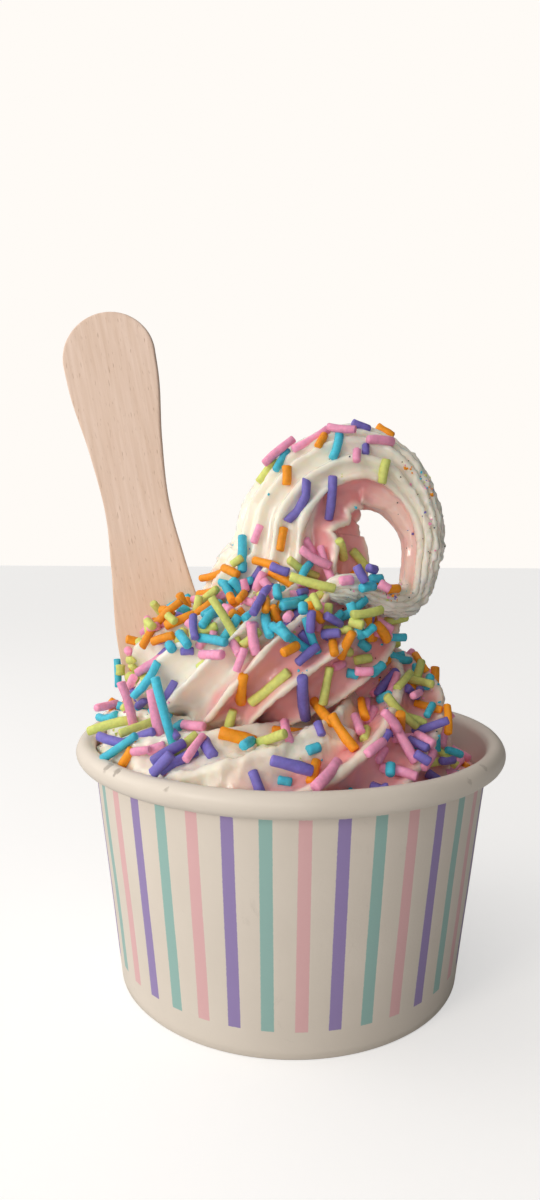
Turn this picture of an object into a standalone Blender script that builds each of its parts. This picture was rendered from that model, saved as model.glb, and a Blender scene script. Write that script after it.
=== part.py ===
"""Soft serve cup: a small paper tub of twisted vanilla and strawberry soft serve
that ends in a tall open curl, dressed with sugar sprinkles, with a flat wooden
spoon standing in it.

+Z is up and -Y is the front of the cup. The origin is on the table, under the
middle of the whole: the cup's own axis stands a little to the right of it,
because the spoon leans out past the rim on the left. Sizes are in metres,
written as millimetres times MM.
"""

from math import ceil, cos, pi, radians, sin, sqrt

import bmesh
import bpy
import numpy as np
from mathutils import Matrix, Vector
from mathutils.bvhtree import BVHTree

MM = 0.001
GAP = 0.3 * MM                # between pieces that touch

# Paper tub
CUP_HEIGHT = 48.6 * MM        # table to the top of the rolled rim
RIM_RADIUS = 43.5 * MM        # outside of the rolled rim
RIM_BEAD_HALF_HEIGHT = 2.19 * MM
WALL_RADIUS_FOOT = 34.86 * MM  # outside of the wall at the table
WALL_RADIUS_TOP = 40.47 * MM  # the same cone carried up to the cup's full height
WALL_THICKNESS = 0.55 * MM
FOOT_WIDTH = 1.3 * MM         # the folded foot ring that the cup stands on
BASE_RECESS = 5.0 * MM        # table to the underside of the base disc
BASE_THICKNESS = 0.6 * MM
CUP_SIDES = 48
RIM_BEAD_STEPS = 10
RIM_BEAD_END = radians(-120)   # round the bead, from its outermost point
RIM_BEAD_TUCK = 0.4 * MM      # from the bead's end down to the wall

# Wooden spoon: a flat bow-tie plate
SPOON_LENGTH = 94.0 * MM
SPOON_THICKNESS = 1.5 * MM
SPOON_TIP = (-23.8 * MM, 9.0 * MM, 43.5 * MM)   # middle of the buried end
SPOON_LEAN = radians(10.4)    # to the left of upright
SPOON_TURN = radians(-7.0)    # about its own length
# Half widths at parts of the length from the buried end to the top end
SPOON_PARTS = (0.10, 0.28, 0.42, 0.55, 0.70, 0.84, 0.90)
SPOON_HALF_WIDTHS = (9.9 * MM, 9.9 * MM, 8.3 * MM, 7.2 * MM, 8.2 * MM, 10.0 * MM, 10.2 * MM)
SPOON_END_STEPS = 7
SPOON_SIDE_STEPS = 14

# Soft serve: the body that fills the tub
FILL_LEVEL = 42.0 * MM
MOUND_TOP = 60.0 * MM         # it rises to a mound hidden inside the coils
MOUND_SHOULDER = (8.0 * MM, 56.0 * MM)
MOUND_FOOT = (14.0 * MM, 46.0 * MM)
FILL_SIDES = 40

# Soft serve: three coils round the axis, one on the other. Each row is a place on
# the coil: turn in degrees anticlockwise from the right, then in millimetres the
# distance of the rope's middle from the axis, its height, and the rope's half
# width and half height, and last how far round the section its first ridge
# stands there, in degrees up from straight outwards.
COIL_AXIS_X = -2.0 * MM
FIRST_COIL = (
    (15, 25.0, 29.5, 11.0, 11.0, 0),
    (60, 26.0, 33.5, 12.5, 11.5, 68),
    (100, 26.0, 36.0, 13.5, 12.0, 128),
    (145, 26.0, 39.0, 14.0, 12.5, 195),
    (190, 26.0, 40.5, 13.0, 12.0, 262),
    (215, 25.0, 38.0, 12.0, 11.0, 300),
)
LOWER_COIL = (
    (-235, 24.0, 38.0, 12.0, 11.5, -160),
    (-215, 24.5, 40.5, 13.5, 12.5, -133),
    (-180, 26.0, 42.0, 15.0, 13.0, -90),
    (-135, 26.0, 41.5, 15.0, 13.0, -35),
    (-90, 25.0, 41.5, 14.5, 13.5, 20),
    (-45, 22.5, 45.5, 14.0, 14.0, 60),
    (0, 20.5, 50.5, 14.0, 14.5, 95),
    (45, 18.5, 53.5, 14.0, 14.0, 135),
    (90, 17.5, 55.0, 14.0, 14.0, 180),
    (135, 17.0, 56.0, 13.5, 13.5, 225),
)
MIDDLE_COIL = (
    (-215, 15.0, 60.0, 13.0, 13.0, -234),
    (-180, 17.0, 61.0, 13.5, 13.5, -178),
    (-135, 16.0, 61.5, 13.5, 13.0, -105),
    (-90, 13.0, 65.0, 14.0, 13.5, -18),
    (-45, 11.5, 67.5, 14.0, 14.0, 31),
    (0, 11.0, 68.5, 13.5, 14.5, 70),
    (45, 9.5, 70.0, 13.5, 14.0, 110),
    (90, 8.0, 71.5, 13.5, 13.5, 155),
    (125, 7.0, 72.5, 13.0, 13.0, 190),
)
COIL_RIDGES = 8
COIL_GROOVE = 0.26            # groove depth as a share of the rope's half width
GROOVE_SHARPNESS = 0.65       # under 1: narrow ridges between wide grooves
COIL_POINTS_A_RIDGE = 3
COIL_STEP = radians(18)
COIL_LEAST_REACH = 1.0 * MM   # no section crosses the coil's axis
COIL_WALL_STEP = 0.45 * MM    # a coil pressed to the wall stays inside the fill

# Soft serve: the curl, one tapering rope in an upright loop. Each row is a place
# on its route in millimetres, from the cup's axis: across, back, up, half width
CURL = (
    (-8.0, 8.0, 62.0, 13.0),
    (-5.0, 5.0, 69.0, 15.6),
    (-0.6, 2.0, 77.0, 16.2),
    (1.6, 0.5, 84.0, 14.6),
    (2.2, 0.0, 91.5, 12.6),
    (6.6, 0.0, 99.0, 10.4),
    (13.8, 0.0, 102.2, 8.8),
    (22.3, 0.0, 98.0, 6.3),
    (26.6, -0.5, 89.8, 4.7),
    (26.3, -1.5, 82.2, 3.8),
    (23.6, -3.5, 76.8, 3.3),
    (18.6, -6.5, 75.4, 3.0),
    (13.4, -9.5, 76.6, 2.8),
    (8.6, -12.0, 77.6, 2.4),
    (4.6, -13.2, 78.4, 1.6),
)
CURL_DEPTH = 0.86             # its front to back size for its width
# Where the curl's ridges stand round the rope, in degrees from the outside of the
# loop to its front: on the rising limb, at the top and on the falling limb, each
# at its share of the route. Then the depth of the groove that follows each ridge,
# as a share of half width: the deepest one is the hollow under the arch
CURL_RIDGES = (
    (0.27, (-8, 14, 31, 47, 68, 92, 119, 165, 205, 242, 278, 312)),
    (0.45, (-4, 16, 33, 48, 78, 103, 147, 185, 220, 255, 290, 322)),
    (0.65, (-4, 16, 36, 57, 82, 105, 150, 185, 220, 255, 290, 322)),
)
CURL_GROOVES = (0.07, 0.07, 0.08, 0.12, 0.13, 0.34, 0.24, 0.12, 0.12, 0.12, 0.10, 0.08)
CURL_STEP = 3.5 * MM

# Spaces that stay free, as lowest and highest corners in millimetres from the
# cup's axis: the curl's hole, and the room above the contents beside the coils
FREE_SPACES = (
    ((16.8, -14.0, 80.1), (21.3, 14.0, 89.8)),
    ((33.8, -6.0, 43.2), (38.5, 6.0, 48.2)),
)

# Sugar sprinkles
SPRINKLE_RADIUS = 0.92 * MM
SPRINKLE_SIDES = 6
SPRINKLE_DOME = 0.35 * MM     # how far each end bulges
SPRINKLE_LIFT = 0.50          # of its radius: its middle line above the surface
SPRINKLE_LEAST_LIFT = 0.20    # of its radius: where it crosses a ridge
SPRINKLE_CLEAR = 1.9 * MM     # between the middle lines of two scattered sprinkles
SPRINKLE_COUNT = 134
SPRINKLE_LENGTHS = (4.0 * MM, 8.5 * MM)
SPRINKLE_SEED = 11
DROPS_TRIED = 6000
DROP_TILT = radians(65)       # falls come from straight above to this far from it
DROP_AIM = (45 * MM, 75 * MM)  # heights on the axis that falls are aimed at
DROP_START = 150 * MM
STEEPEST_REST = -0.25         # least upward share of the surface's direction
GRAZING = 0.08                # least share at which a placed one faces the front
# Chance that a sprinkle stays, by the height at which it lands
STAY_CHANCES = ((38.0 * MM, 0.5), (52.0 * MM, 0.35), (60.0 * MM, 0.3), (66.0 * MM, 1.0),
                (80.0 * MM, 1.0), (86.0 * MM, 0.04), (104.0 * MM, 0.04), (112.0 * MM, 0.2))
# The sprinkles that stand out, placed by hand: across and up in millimetres on
# the upright plane through the cup's axis, as seen from a point in front of the
# cup, then the heading in degrees from level and the length in millimetres
FRONT_POINT = (-4.3 * MM, -157.5 * MM, 86.6 * MM)
PLACED = (
    (1, 96, 65, 9), (8, 96, 86, 8), (9, 107, 75, 4), (6, 108, 60, 3), (-1, 101, 90, 3),
    (-2, 104, 60, 5), (4, 108, 30, 8), (10, 110, 175, 6), (14, 111, 160, 3), (18, 108, 172, 5),
    (19, 102, 80, 4), (-2, 88, 80, 4), (-10, 85, 90, 6), (-7, 89, 70, 3), (-11, 80, 5, 6),
    (-8, 79, 55, 6), (5, 79, 165, 7), (3, 77, 10, 7), (0, 75, 10, 5), (1, 72, 45, 5),
    (8, 83, 110, 6), (5, 84, 150, 5), (4, 68, 110, 6), (1, 67, 140, 8), (12, 73, 35, 7),
    (13, 69, 110, 6), (-7, 71, 100, 7), (-13, 70, 120, 10), (-16, 67, 170, 7), (-16, 64, 0, 6),
    (-19, 73, 75, 5), (-16, 78, 10, 6), (-22, 67, 125, 5), (-27, 70, 50, 10), (-26, 51, 105, 14),
    (-30, 59, 55, 8), (-34, 53, 105, 7), (-35, 44, 35, 8), (-31, 47, 80, 8), (-34, 42, 60, 4),
    (-28, 51, 100, 8), (-23, 44, 35, 8), (-17, 44, 120, 5), (-23, 41, 30, 9), (-22, 38, 5, 6),
    (-11, 46, 165, 7), (-10, 57, 85, 8), (-4, 57, 40, 10), (3, 55, 95, 10), (7, 52, 130, 6),
    (11, 47, 125, 8), (7, 58, 80, 6), (4, 63, 40, 5), (0, 47, 105, 6), (14, 48, 110, 5),
    (0, 41, 165, 8), (5, 39, 75, 5), (8, 38, 50, 8), (23, 51, 135, 8), (23, 45, 120, 8),
    (30, 48, 20, 7), (29, 42, 60, 5), (23, 39, 165, 6), (29, 53, 165, 5), (22, 58, 70, 3),
    (19, 57, 40, 5), (17, 51, 65, 4), (25, 58, 105, 4),
)


def remove_all():
    """Start from an empty scene."""
    for thing in list(bpy.data.objects):
        bpy.data.objects.remove(thing, do_unlink=True)


def smooth_rows(rows, places):
    """Rows whose first column is a place, read smoothly at other places: each
    gap is a cubic whose slope at a row is the slope between its neighbours."""
    rows = np.asarray(rows, float)
    knots = rows[:, 0]
    values = rows[:, 1:]
    slopes = np.gradient(values, knots, axis=0)
    index = np.clip(np.searchsorted(knots, places, side="right") - 1, 0, len(knots) - 2)
    width = (knots[index + 1] - knots[index])[:, None]
    share = ((places - knots[index])[:, None]) / width
    return (
        values[index] * (1 + 2 * share) * (1 - share) ** 2
        + values[index + 1] * share ** 2 * (3 - 2 * share)
        + slopes[index] * width * share * (1 - share) ** 2
        - slopes[index + 1] * width * share ** 2 * (1 - share)
    )


def mesh_object(name, vertices, faces, collection):
    """A mesh object of flat triangles, turned outwards."""
    mesh = bpy.data.meshes.new(name)
    mesh.from_pydata([tuple(v) for v in vertices], [], faces)
    bm = bmesh.new()
    bm.from_mesh(mesh)
    bmesh.ops.remove_doubles(bm, verts=bm.verts, dist=0.00001)
    bmesh.ops.triangulate(bm, faces=bm.faces)
    bmesh.ops.recalc_face_normals(bm, faces=bm.faces)
    bm.to_mesh(mesh)
    bm.free()
    thing = bpy.data.objects.new(name, mesh)
    collection.objects.link(thing)
    return thing


def loft(name, rings, collection):
    """A closed skin through rings of equal count, capped at both ends."""
    count, around = rings.shape[:2]
    faces = []
    for ring in range(count - 1):
        for point in range(around):
            after = (point + 1) % around
            low = ring * around
            faces.append((low + point, low + after, low + around + after, low + around + point))
    faces.append(tuple(range(around)))
    faces.append(tuple((count - 1) * around + point for point in range(around)))
    return mesh_object(name, rings.reshape(-1, 3), faces, collection)


def material(name, colour, roughness):
    """A plain Principled material; the colour is linear red, green and blue."""
    finish = bpy.data.materials.new(name)
    finish.use_nodes = True
    shader = finish.node_tree.nodes["Principled BSDF"]
    shader.inputs["Base Color"].default_value = (*colour, 1.0)
    shader.inputs["Roughness"].default_value = roughness
    shader.inputs["Metallic"].default_value = 0.0
    finish.diffuse_color = (*colour, 1.0)
    return finish


def wall_radius(height):
    """Outside radius of the tub's conical wall at a height."""
    return WALL_RADIUS_FOOT + (WALL_RADIUS_TOP - WALL_RADIUS_FOOT) * height / CUP_HEIGHT


def inner_radius(height):
    """Inside radius of the tub's wall at a height, also above the rim."""
    return wall_radius(np.minimum(height, CUP_HEIGHT - RIM_BEAD_HALF_HEIGHT)) - WALL_THICKNESS


def cup_profile():
    """Half section of the tub as (radius, height): from the middle of the base
    up the inside, over the rolled rim, down the outside and round the foot."""
    floor = BASE_RECESS + BASE_THICKNESS
    bead_height = CUP_HEIGHT - RIM_BEAD_HALF_HEIGHT
    bead_inside = inner_radius(bead_height)
    bead_middle = (RIM_RADIUS + bead_inside) / 2
    bead_half_width = (RIM_RADIUS - bead_inside) / 2
    foot_inside = WALL_RADIUS_FOOT - FOOT_WIDTH
    profile = [(0.0, floor), (inner_radius(floor), floor)]
    for step in range(RIM_BEAD_STEPS + 1):
        turn = pi + (RIM_BEAD_END - pi) * step / RIM_BEAD_STEPS
        profile.append(
            (bead_middle + bead_half_width * cos(turn), bead_height + RIM_BEAD_HALF_HEIGHT * sin(turn))
        )
    under_bead = profile[-1][1] - RIM_BEAD_TUCK
    profile.append((wall_radius(under_bead), under_bead))
    profile += [
        (WALL_RADIUS_FOOT, 0.0),
        (foot_inside, 0.0),
        (foot_inside, BASE_RECESS),
        (0.0, BASE_RECESS),
    ]
    return profile


def turned(name, profile, sides, collection):
    """A turned solid: a half section carried round the axis by a Screw."""
    mesh = bpy.data.meshes.new(name)
    points = [(radius, 0.0, height) for radius, height in profile]
    mesh.from_pydata(points, [(i, i + 1) for i in range(len(points) - 1)], [])
    thing = bpy.data.objects.new(name, mesh)
    collection.objects.link(thing)
    screw = thing.modifiers.new("Turn", "SCREW")
    screw.angle = 2 * pi
    screw.steps = sides
    screw.render_steps = sides
    screw.use_merge_vertices = True
    screw.merge_threshold = 0.00001
    screw.use_normal_calculate = False
    return thing


def make_cup(collection):
    """The paper tub: rolled rim, tapered wall, base disc set up from the foot."""
    cup = turned("paper_cup", cup_profile(), CUP_SIDES, collection)
    cup.data.materials.append(material("coated paper", (0.80, 0.74, 0.68), 0.5))
    return cup


def spoon_outline(grow):
    """The spoon's flat outline round its length, which runs up from the buried
    end: the sides follow the half widths, and both ends are half ellipses."""
    parts = np.array(SPOON_PARTS)
    first = SPOON_HALF_WIDTHS[0]
    last = SPOON_HALF_WIDTHS[-1]
    rows = np.column_stack([parts, SPOON_HALF_WIDTHS])
    along = np.linspace(parts[0], parts[-1], SPOON_SIDE_STEPS)
    side = smooth_rows(rows, along)[:, 0]
    turns = np.linspace(-pi / 2, 0, SPOON_END_STEPS)[:-1]
    heel = [(first * cos(t), (parts[0] + parts[0] * sin(t)) * SPOON_LENGTH) for t in turns]
    top_reach = 1 - parts[-1]
    crown = [
        (last * cos(t), (parts[-1] + top_reach * sin(t)) * SPOON_LENGTH) for t in -turns[::-1]
    ]
    right = heel + [(w, a * SPOON_LENGTH) for w, a in zip(side, along)] + crown
    left = [(-w, a) for w, a in right[-2:0:-1]]
    outline = np.array(right + left)
    ahead = np.roll(outline, -1, 0) - np.roll(outline, 1, 0)
    outward = np.column_stack([ahead[:, 1], -ahead[:, 0]])
    outward /= np.linalg.norm(outward, axis=1)[:, None]
    return outline + grow * outward


def spoon_plate(name, grow, collection):
    """The spoon as a filled flat curve, thickened, then made a mesh."""
    curve = bpy.data.curves.new(name, "CURVE")
    curve.dimensions = "2D"
    curve.fill_mode = "BOTH"
    curve.extrude = SPOON_THICKNESS / 2 + grow
    outline = spoon_outline(grow)
    spline = curve.splines.new("POLY")
    spline.points.add(len(outline) - 1)
    for point, (across, along) in zip(spline.points, outline):
        point.co = (across, along, 0.0, 1.0)
    spline.use_cyclic_u = True
    flat = bpy.data.objects.new(name + "_flat", curve)
    collection.objects.link(flat)
    flat.location = SPOON_TIP
    flat.rotation_euler = (
        Matrix.Rotation(-SPOON_LEAN, 3, "Y")
        @ Matrix.Rotation(SPOON_TURN, 3, "Z")
        @ Matrix.Rotation(pi / 2, 3, "X")
    ).to_euler()
    bpy.context.view_layer.update()
    seen = flat.evaluated_get(bpy.context.evaluated_depsgraph_get())
    mesh = bpy.data.meshes.new_from_object(seen)
    mesh.name = name
    mesh.transform(flat.matrix_world)
    bm = bmesh.new()
    bm.from_mesh(mesh)
    bmesh.ops.remove_doubles(bm, verts=bm.verts, dist=0.00001)
    bmesh.ops.recalc_face_normals(bm, faces=bm.faces)
    bm.to_mesh(mesh)
    bm.free()
    bpy.data.objects.remove(flat)
    plate = bpy.data.objects.new(name, mesh)
    collection.objects.link(plate)
    return plate


def fill_profile():
    """Half section of the body that fills the tub, top to bottom."""
    floor = BASE_RECESS + BASE_THICKNESS + GAP
    edge = inner_radius(FILL_LEVEL) - GAP
    return [
        (0.0, MOUND_TOP),
        MOUND_SHOULDER,
        MOUND_FOOT,
        (edge, FILL_LEVEL),
        (inner_radius(floor) - GAP, floor),
        (0.0, floor),
    ]


def coil(name, rows, collection):
    """A rope laid round the axis: each section stands in an upright plane
    through the axis, with even ridges that turn round it as the coil goes on.
    Each groove falls to its depth as a flattened sine between two ridges."""
    rows = np.array(rows, float)
    rows[:, [0, 5]] = np.radians(rows[:, [0, 5]])
    rows[:, 1:5] *= MM
    count = ceil((rows[-1, 0] - rows[0, 0]) / COIL_STEP) + 1
    turns = np.linspace(rows[0, 0], rows[-1, 0], count)
    places = smooth_rows(rows, turns)
    around = np.linspace(0, 2 * pi, COIL_RIDGES * COIL_POINTS_A_RIDGE, endpoint=False)
    past_ridge = np.tile(np.arange(COIL_POINTS_A_RIDGE) / COIL_POINTS_A_RIDGE, COIL_RIDGES)
    inward = 1 - COIL_GROOVE * np.sin(pi * past_ridge) ** GROOVE_SHARPNESS
    section = around[None, :] + places[:, 4:5]
    reach = places[:, 0:1] + places[:, 2:3] * inward * np.cos(section)
    height = places[:, 1:2] + places[:, 3:4] * inward * np.sin(section)
    reach = np.maximum(reach, COIL_LEAST_REACH)
    across = COIL_AXIS_X + reach * np.cos(turns)[:, None]
    back = reach * np.sin(turns)[:, None]
    away = np.hypot(across, back)
    limit = inner_radius(height) - GAP - COIL_WALL_STEP
    pull = np.minimum(1.0, limit / away)
    rings = np.stack([across * pull, back * pull, height], axis=-1)
    return loft(name, rings, collection)


def curl_frames(rows, step):
    """Middles, half widths, outward and forward directions along the curl. The
    outward direction lies in the plane of the loop and points away from it."""
    rows = np.asarray(rows, float) * MM
    walk = np.concatenate([[0], np.cumsum(np.linalg.norm(np.diff(rows[:, :3], axis=0), axis=1))])
    count = ceil(walk[-1] / step) + 1
    places = smooth_rows(np.column_stack([walk, rows]), np.linspace(0, walk[-1], count))
    middles = places[:, :3]
    ahead = np.gradient(middles, axis=0)
    ahead /= np.linalg.norm(ahead, axis=1)[:, None]
    outward = np.cross(np.array([0.0, -1.0, 0.0]), ahead)
    outward /= np.linalg.norm(outward, axis=1)[:, None]
    forward = np.cross(ahead, outward)
    return middles, places[:, 3], outward, forward, np.linspace(0, 1, count)


def curl(name, collection):
    """The tapering rope of the curl. Its ridges are spaced unevenly and wander
    along it, and its points lie on each ridge and in the middle of each groove."""
    middles, half, outward, forward, share = curl_frames(CURL, CURL_STEP)
    stations, angles = zip(*CURL_RIDGES)
    ridges = [np.interp(share, stations, angle) for angle in zip(*angles)]
    ridges = np.radians(np.stack(ridges, axis=1))
    after = np.roll(ridges, -1, axis=1)
    after[:, -1] += 2 * pi
    section = np.stack([ridges, (ridges + after) / 2], axis=2).reshape(len(share), -1)
    depths = np.array(CURL_GROOVES)
    inward = np.stack([np.ones_like(depths), 1 - depths], axis=1).ravel()
    rings = (
        middles[:, None, :]
        + (half[:, None] * inward * np.cos(section))[..., None] * outward[:, None, :]
        + (half[:, None] * CURL_DEPTH * inward * np.sin(section))[..., None] * forward[:, None, :]
    )
    return loft(name, rings, collection)


def boolean(thing, operation, other):
    """Add a Boolean with one object or one collection, and apply it. The
    manifold solver is the one that joins this many closed pieces quickly."""
    step = thing.modifiers.new(operation.title(), "BOOLEAN")
    step.operation = operation
    step.solver = "MANIFOLD"
    if isinstance(other, bpy.types.Collection):
        step.operand_type = "COLLECTION"
        step.collection = other
    else:
        step.object = other
    bpy.context.view_layer.update()
    seen = thing.evaluated_get(bpy.context.evaluated_depsgraph_get())
    mesh = bpy.data.meshes.new_from_object(seen)
    thing.modifiers.clear()
    thing.data = mesh


def tree_of(thing):
    """A search tree of an object's evaluated faces."""
    return BVHTree.FromObject(thing, bpy.context.evaluated_depsgraph_get())


def sprinkle(name, middle, heading, length, collection):
    """One sprinkle: a rod of flat sides whose ends bulge a little."""
    side = heading.orthogonal().normalized()
    turn = heading.cross(side)
    rods = [(end * (length / 2 - SPRINKLE_DOME)) for end in (-1, 1)]
    vertices = [middle + heading * (-length / 2)]
    for along in rods:
        for step in range(SPRINKLE_SIDES):
            angle = 2 * pi * step / SPRINKLE_SIDES
            spoke = side * cos(angle) + turn * sin(angle)
            vertices.append(middle + heading * along + spoke * SPRINKLE_RADIUS)
    vertices.append(middle + heading * (length / 2))
    last = len(vertices) - 1
    faces = []
    for step in range(SPRINKLE_SIDES):
        low = 1 + step
        low_after = 1 + (step + 1) % SPRINKLE_SIDES
        high = low + SPRINKLE_SIDES
        high_after = low_after + SPRINKLE_SIDES
        faces += [(0, low_after, low), (low, low_after, high_after, high), (last, high, high_after)]
    return mesh_object(name, vertices, faces, collection)


def samples_along(middle, heading, length):
    """Points along a sprinkle's middle line."""
    reach = length / 2 - SPRINKLE_RADIUS / 2
    return [middle + heading * (reach * share) for share in (-1, -0.5, 0, 0.5, 1)]


def settled(core, hit, normal, heading, length):
    """The middle of a sprinkle that lies at a place on the core: lifted from
    the surface, and more where it would sink into a ridge."""
    lift = SPRINKLE_LIFT * SPRINKLE_RADIUS
    for _ in range(3):
        least = 1.0
        for point in samples_along(hit + normal * lift, heading, length):
            near, near_normal, _, _ = core.find_nearest(point)
            least = min(least, (point - near).dot(near_normal))
        short = SPRINKLE_LEAST_LIFT * SPRINKLE_RADIUS - least
        if short <= 0:
            break
        lift += short
    return hit + normal * lift


def in_free_space(point):
    """Whether a sprinkle round this point would reach into a free space."""
    reach = SPRINKLE_RADIUS + GAP
    return any(
        all(low * MM - reach < value < high * MM + reach for value, low, high in zip(point, *box))
        for box in FREE_SPACES
    )


def is_clear(points, taken, neighbours):
    """Whether a sprinkle keeps off the sprinkles so far, the other pieces and
    the free spaces."""
    if any(in_free_space(point) for point in points):
        return False
    for point in points:
        for tree in neighbours:
            if tree.find_nearest(point)[3] < SPRINKLE_RADIUS + 1.5 * GAP:
                return False
        for other in taken:
            if (point - other).length < SPRINKLE_CLEAR:
                return False
    return True


def placed_sprinkle(core, across, up, heading_degrees, length):
    """A sprinkle placed by hand, as (hit, normal, heading, length)."""
    eye = Vector(FRONT_POINT)
    aim = Vector((across * MM, 0.0, up * MM)) - eye
    hit, normal, _, distance = core.ray_cast(eye, aim.normalized())
    if hit is None or normal.dot(aim) > -GRAZING * aim.length:
        return None
    flat = Vector((cos(radians(heading_degrees)), 0.0, sin(radians(heading_degrees))))
    heading = flat - aim * (flat.dot(normal) / aim.dot(normal))
    return hit, normal, heading.normalized(), length * MM * distance / aim.length


def dropped_sprinkle(core, draw):
    """A sprinkle that falls from a random side, or None where it doesn't stay."""
    turn = draw.uniform(0, 2 * pi)
    tilt = DROP_TILT * draw.uniform(0, 1)
    reach = WALL_RADIUS_TOP * sqrt(draw.uniform(0, 1))
    bearing = draw.uniform(0, 2 * pi)
    target = Vector((reach * cos(bearing), reach * sin(bearing), draw.uniform(*DROP_AIM)))
    away = Vector((sin(tilt) * cos(turn), sin(tilt) * sin(turn), cos(tilt)))
    hit, normal, _, _ = core.ray_cast(target + away * DROP_START, -away)
    spin = draw.uniform(0, 2 * pi)
    length = draw.uniform(*SPRINKLE_LENGTHS)
    chance = draw.uniform(0, 1)
    if hit is None:
        return None
    heights, chances = zip(*STAY_CHANCES)
    if chance > np.interp(hit.z, heights, chances) or normal.z < STEEPEST_REST:
        return None
    side = normal.orthogonal().normalized()
    heading = side * cos(spin) + normal.cross(side) * sin(spin)
    return hit, normal, heading, length


def scatter_sprinkles(body, others, collection):
    """All the sprinkles: first the placed ones, then falling ones by seeded draw."""
    core = tree_of(body)
    neighbours = [tree_of(other) for other in others]
    draw = np.random.default_rng(SPRINKLE_SEED)
    landed = [placed_sprinkle(core, *row) for row in PLACED]
    landed += [dropped_sprinkle(core, draw) for _ in range(DROPS_TRIED)]
    taken = []
    count = 0
    for number, landing in enumerate(landed):
        if landing is None or count == SPRINKLE_COUNT:
            continue
        hit, normal, heading, length = landing
        middle = settled(core, hit, normal, heading, length)
        points = samples_along(middle, heading, length)
        by_hand = number < len(PLACED)
        if is_clear(points, [] if by_hand else taken, neighbours):
            sprinkle("sprinkle_%03d" % count, middle, heading, length, collection)
            taken += points
            count += 1


def keep_largest_piece(mesh):
    """Drop loose scraps and the walls of sealed hollows: all but the largest
    group of faces that hang together by their edges."""
    bm = bmesh.new()
    bm.from_mesh(mesh)
    left = set(bm.faces)
    islands = []
    while left:
        island = []
        front = [left.pop()]
        while front:
            face = front.pop()
            island.append(face)
            for edge in face.edges:
                for other in edge.link_faces:
                    if other in left:
                        left.remove(other)
                        front.append(other)
        islands.append(island)
    islands.sort(key=len)
    scraps = [face for island in islands[:-1] for face in island]
    bmesh.ops.delete(bm, geom=scraps, context="FACES")
    bm.to_mesh(mesh)
    bm.free()


def make_soft_serve(collection, cutters, others):
    """The soft serve: fill, three coils and curl joined, cut round the spoon."""
    ropes = bpy.data.collections.new("ropes")
    bpy.context.scene.collection.children.link(ropes)
    coil("first_coil", FIRST_COIL, ropes)
    coil("lower_coil", LOWER_COIL, ropes)
    coil("middle_coil", MIDDLE_COIL, ropes)
    curl("curl", ropes)
    body = turned("soft_serve", fill_profile(), FILL_SIDES, collection)
    boolean(body, "UNION", ropes)
    for rope in list(ropes.objects):
        bpy.data.objects.remove(rope)
    slot = spoon_plate("spoon_slot", GAP, cutters)
    slot.hide_render = True
    slot.display_type = "WIRE"
    boolean(body, "DIFFERENCE", slot)
    sprinkles = bpy.data.collections.new("sprinkles")
    bpy.context.scene.collection.children.link(sprinkles)
    scatter_sprinkles(body, others, sprinkles)
    boolean(body, "UNION", sprinkles)
    for rod in list(sprinkles.objects):
        bpy.data.objects.remove(rod)
    keep_largest_piece(body.data)
    body.data.materials.append(material("soft serve", (0.93, 0.80, 0.72), 0.35))
    return body


def stand_on_origin(pieces):
    """Carry all pieces on an empty on the cup's axis, set so that the origin is
    under the middle of the whole: half way from the spoon's reach to the rim's."""
    spoon = pieces[1]
    reach = min(vertex.co.x for vertex in spoon.data.vertices)
    axis = bpy.data.objects.new("cup_axis", None)
    bpy.context.scene.collection.objects.link(axis)
    axis.location.x = -(reach + RIM_RADIUS) / 2
    for piece in pieces:
        piece.parent = axis


def build():
    """Make the three pieces on the cup's axis."""
    remove_all()
    parts = bpy.data.collections.new("soft_serve_cup")
    cutters = bpy.data.collections.new("cutters")
    bpy.context.scene.collection.children.link(parts)
    bpy.context.scene.collection.children.link(cutters)
    cup = make_cup(parts)
    spoon = spoon_plate("wooden_spoon", 0.0, parts)
    spoon.data.materials.append(material("birch wood", (0.69, 0.46, 0.31), 0.6))
    body = make_soft_serve(parts, cutters, [cup, spoon])
    stand_on_origin([cup, spoon, body])


build()
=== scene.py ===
import math

import bpy
import numpy as np
from mathutils import Matrix, Vector
from mathutils.bvhtree import BVHTree


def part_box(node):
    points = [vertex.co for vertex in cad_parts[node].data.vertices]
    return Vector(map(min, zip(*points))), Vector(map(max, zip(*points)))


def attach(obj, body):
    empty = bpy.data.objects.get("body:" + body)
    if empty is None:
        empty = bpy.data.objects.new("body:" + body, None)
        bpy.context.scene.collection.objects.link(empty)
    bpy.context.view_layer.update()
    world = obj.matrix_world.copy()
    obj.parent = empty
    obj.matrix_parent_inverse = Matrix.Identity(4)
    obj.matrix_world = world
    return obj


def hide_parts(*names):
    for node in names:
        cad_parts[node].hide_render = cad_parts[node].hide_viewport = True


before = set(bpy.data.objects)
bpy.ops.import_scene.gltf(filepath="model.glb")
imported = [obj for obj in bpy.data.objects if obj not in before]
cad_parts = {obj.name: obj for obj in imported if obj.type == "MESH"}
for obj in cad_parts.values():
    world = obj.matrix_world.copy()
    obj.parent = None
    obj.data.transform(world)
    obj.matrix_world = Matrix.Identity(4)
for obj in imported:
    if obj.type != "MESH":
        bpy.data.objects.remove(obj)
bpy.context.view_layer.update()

# ------------------------------------------------------------------ Paper tub
# A blank of coated white board, printed with pastel stripes, is wrapped into a
# cone and lapped down the back. Its top edge is rolled outwards into the rim, and
# its foot is folded in under a recessed disc of the same board.
MM = 0.001
tub_low, tub_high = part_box("paper_cup")
AXIS_X = (tub_low.x + tub_high.x) / 2
TUB_HEIGHT = tub_high.z
RIM_RADIUS = (tub_high.x - tub_low.x) / 2
FOOT_RADIUS = 34.86 * MM
WALL_TOP_RADIUS = 40.47 * MM   # the cone carried up to the tub's full height
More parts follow.
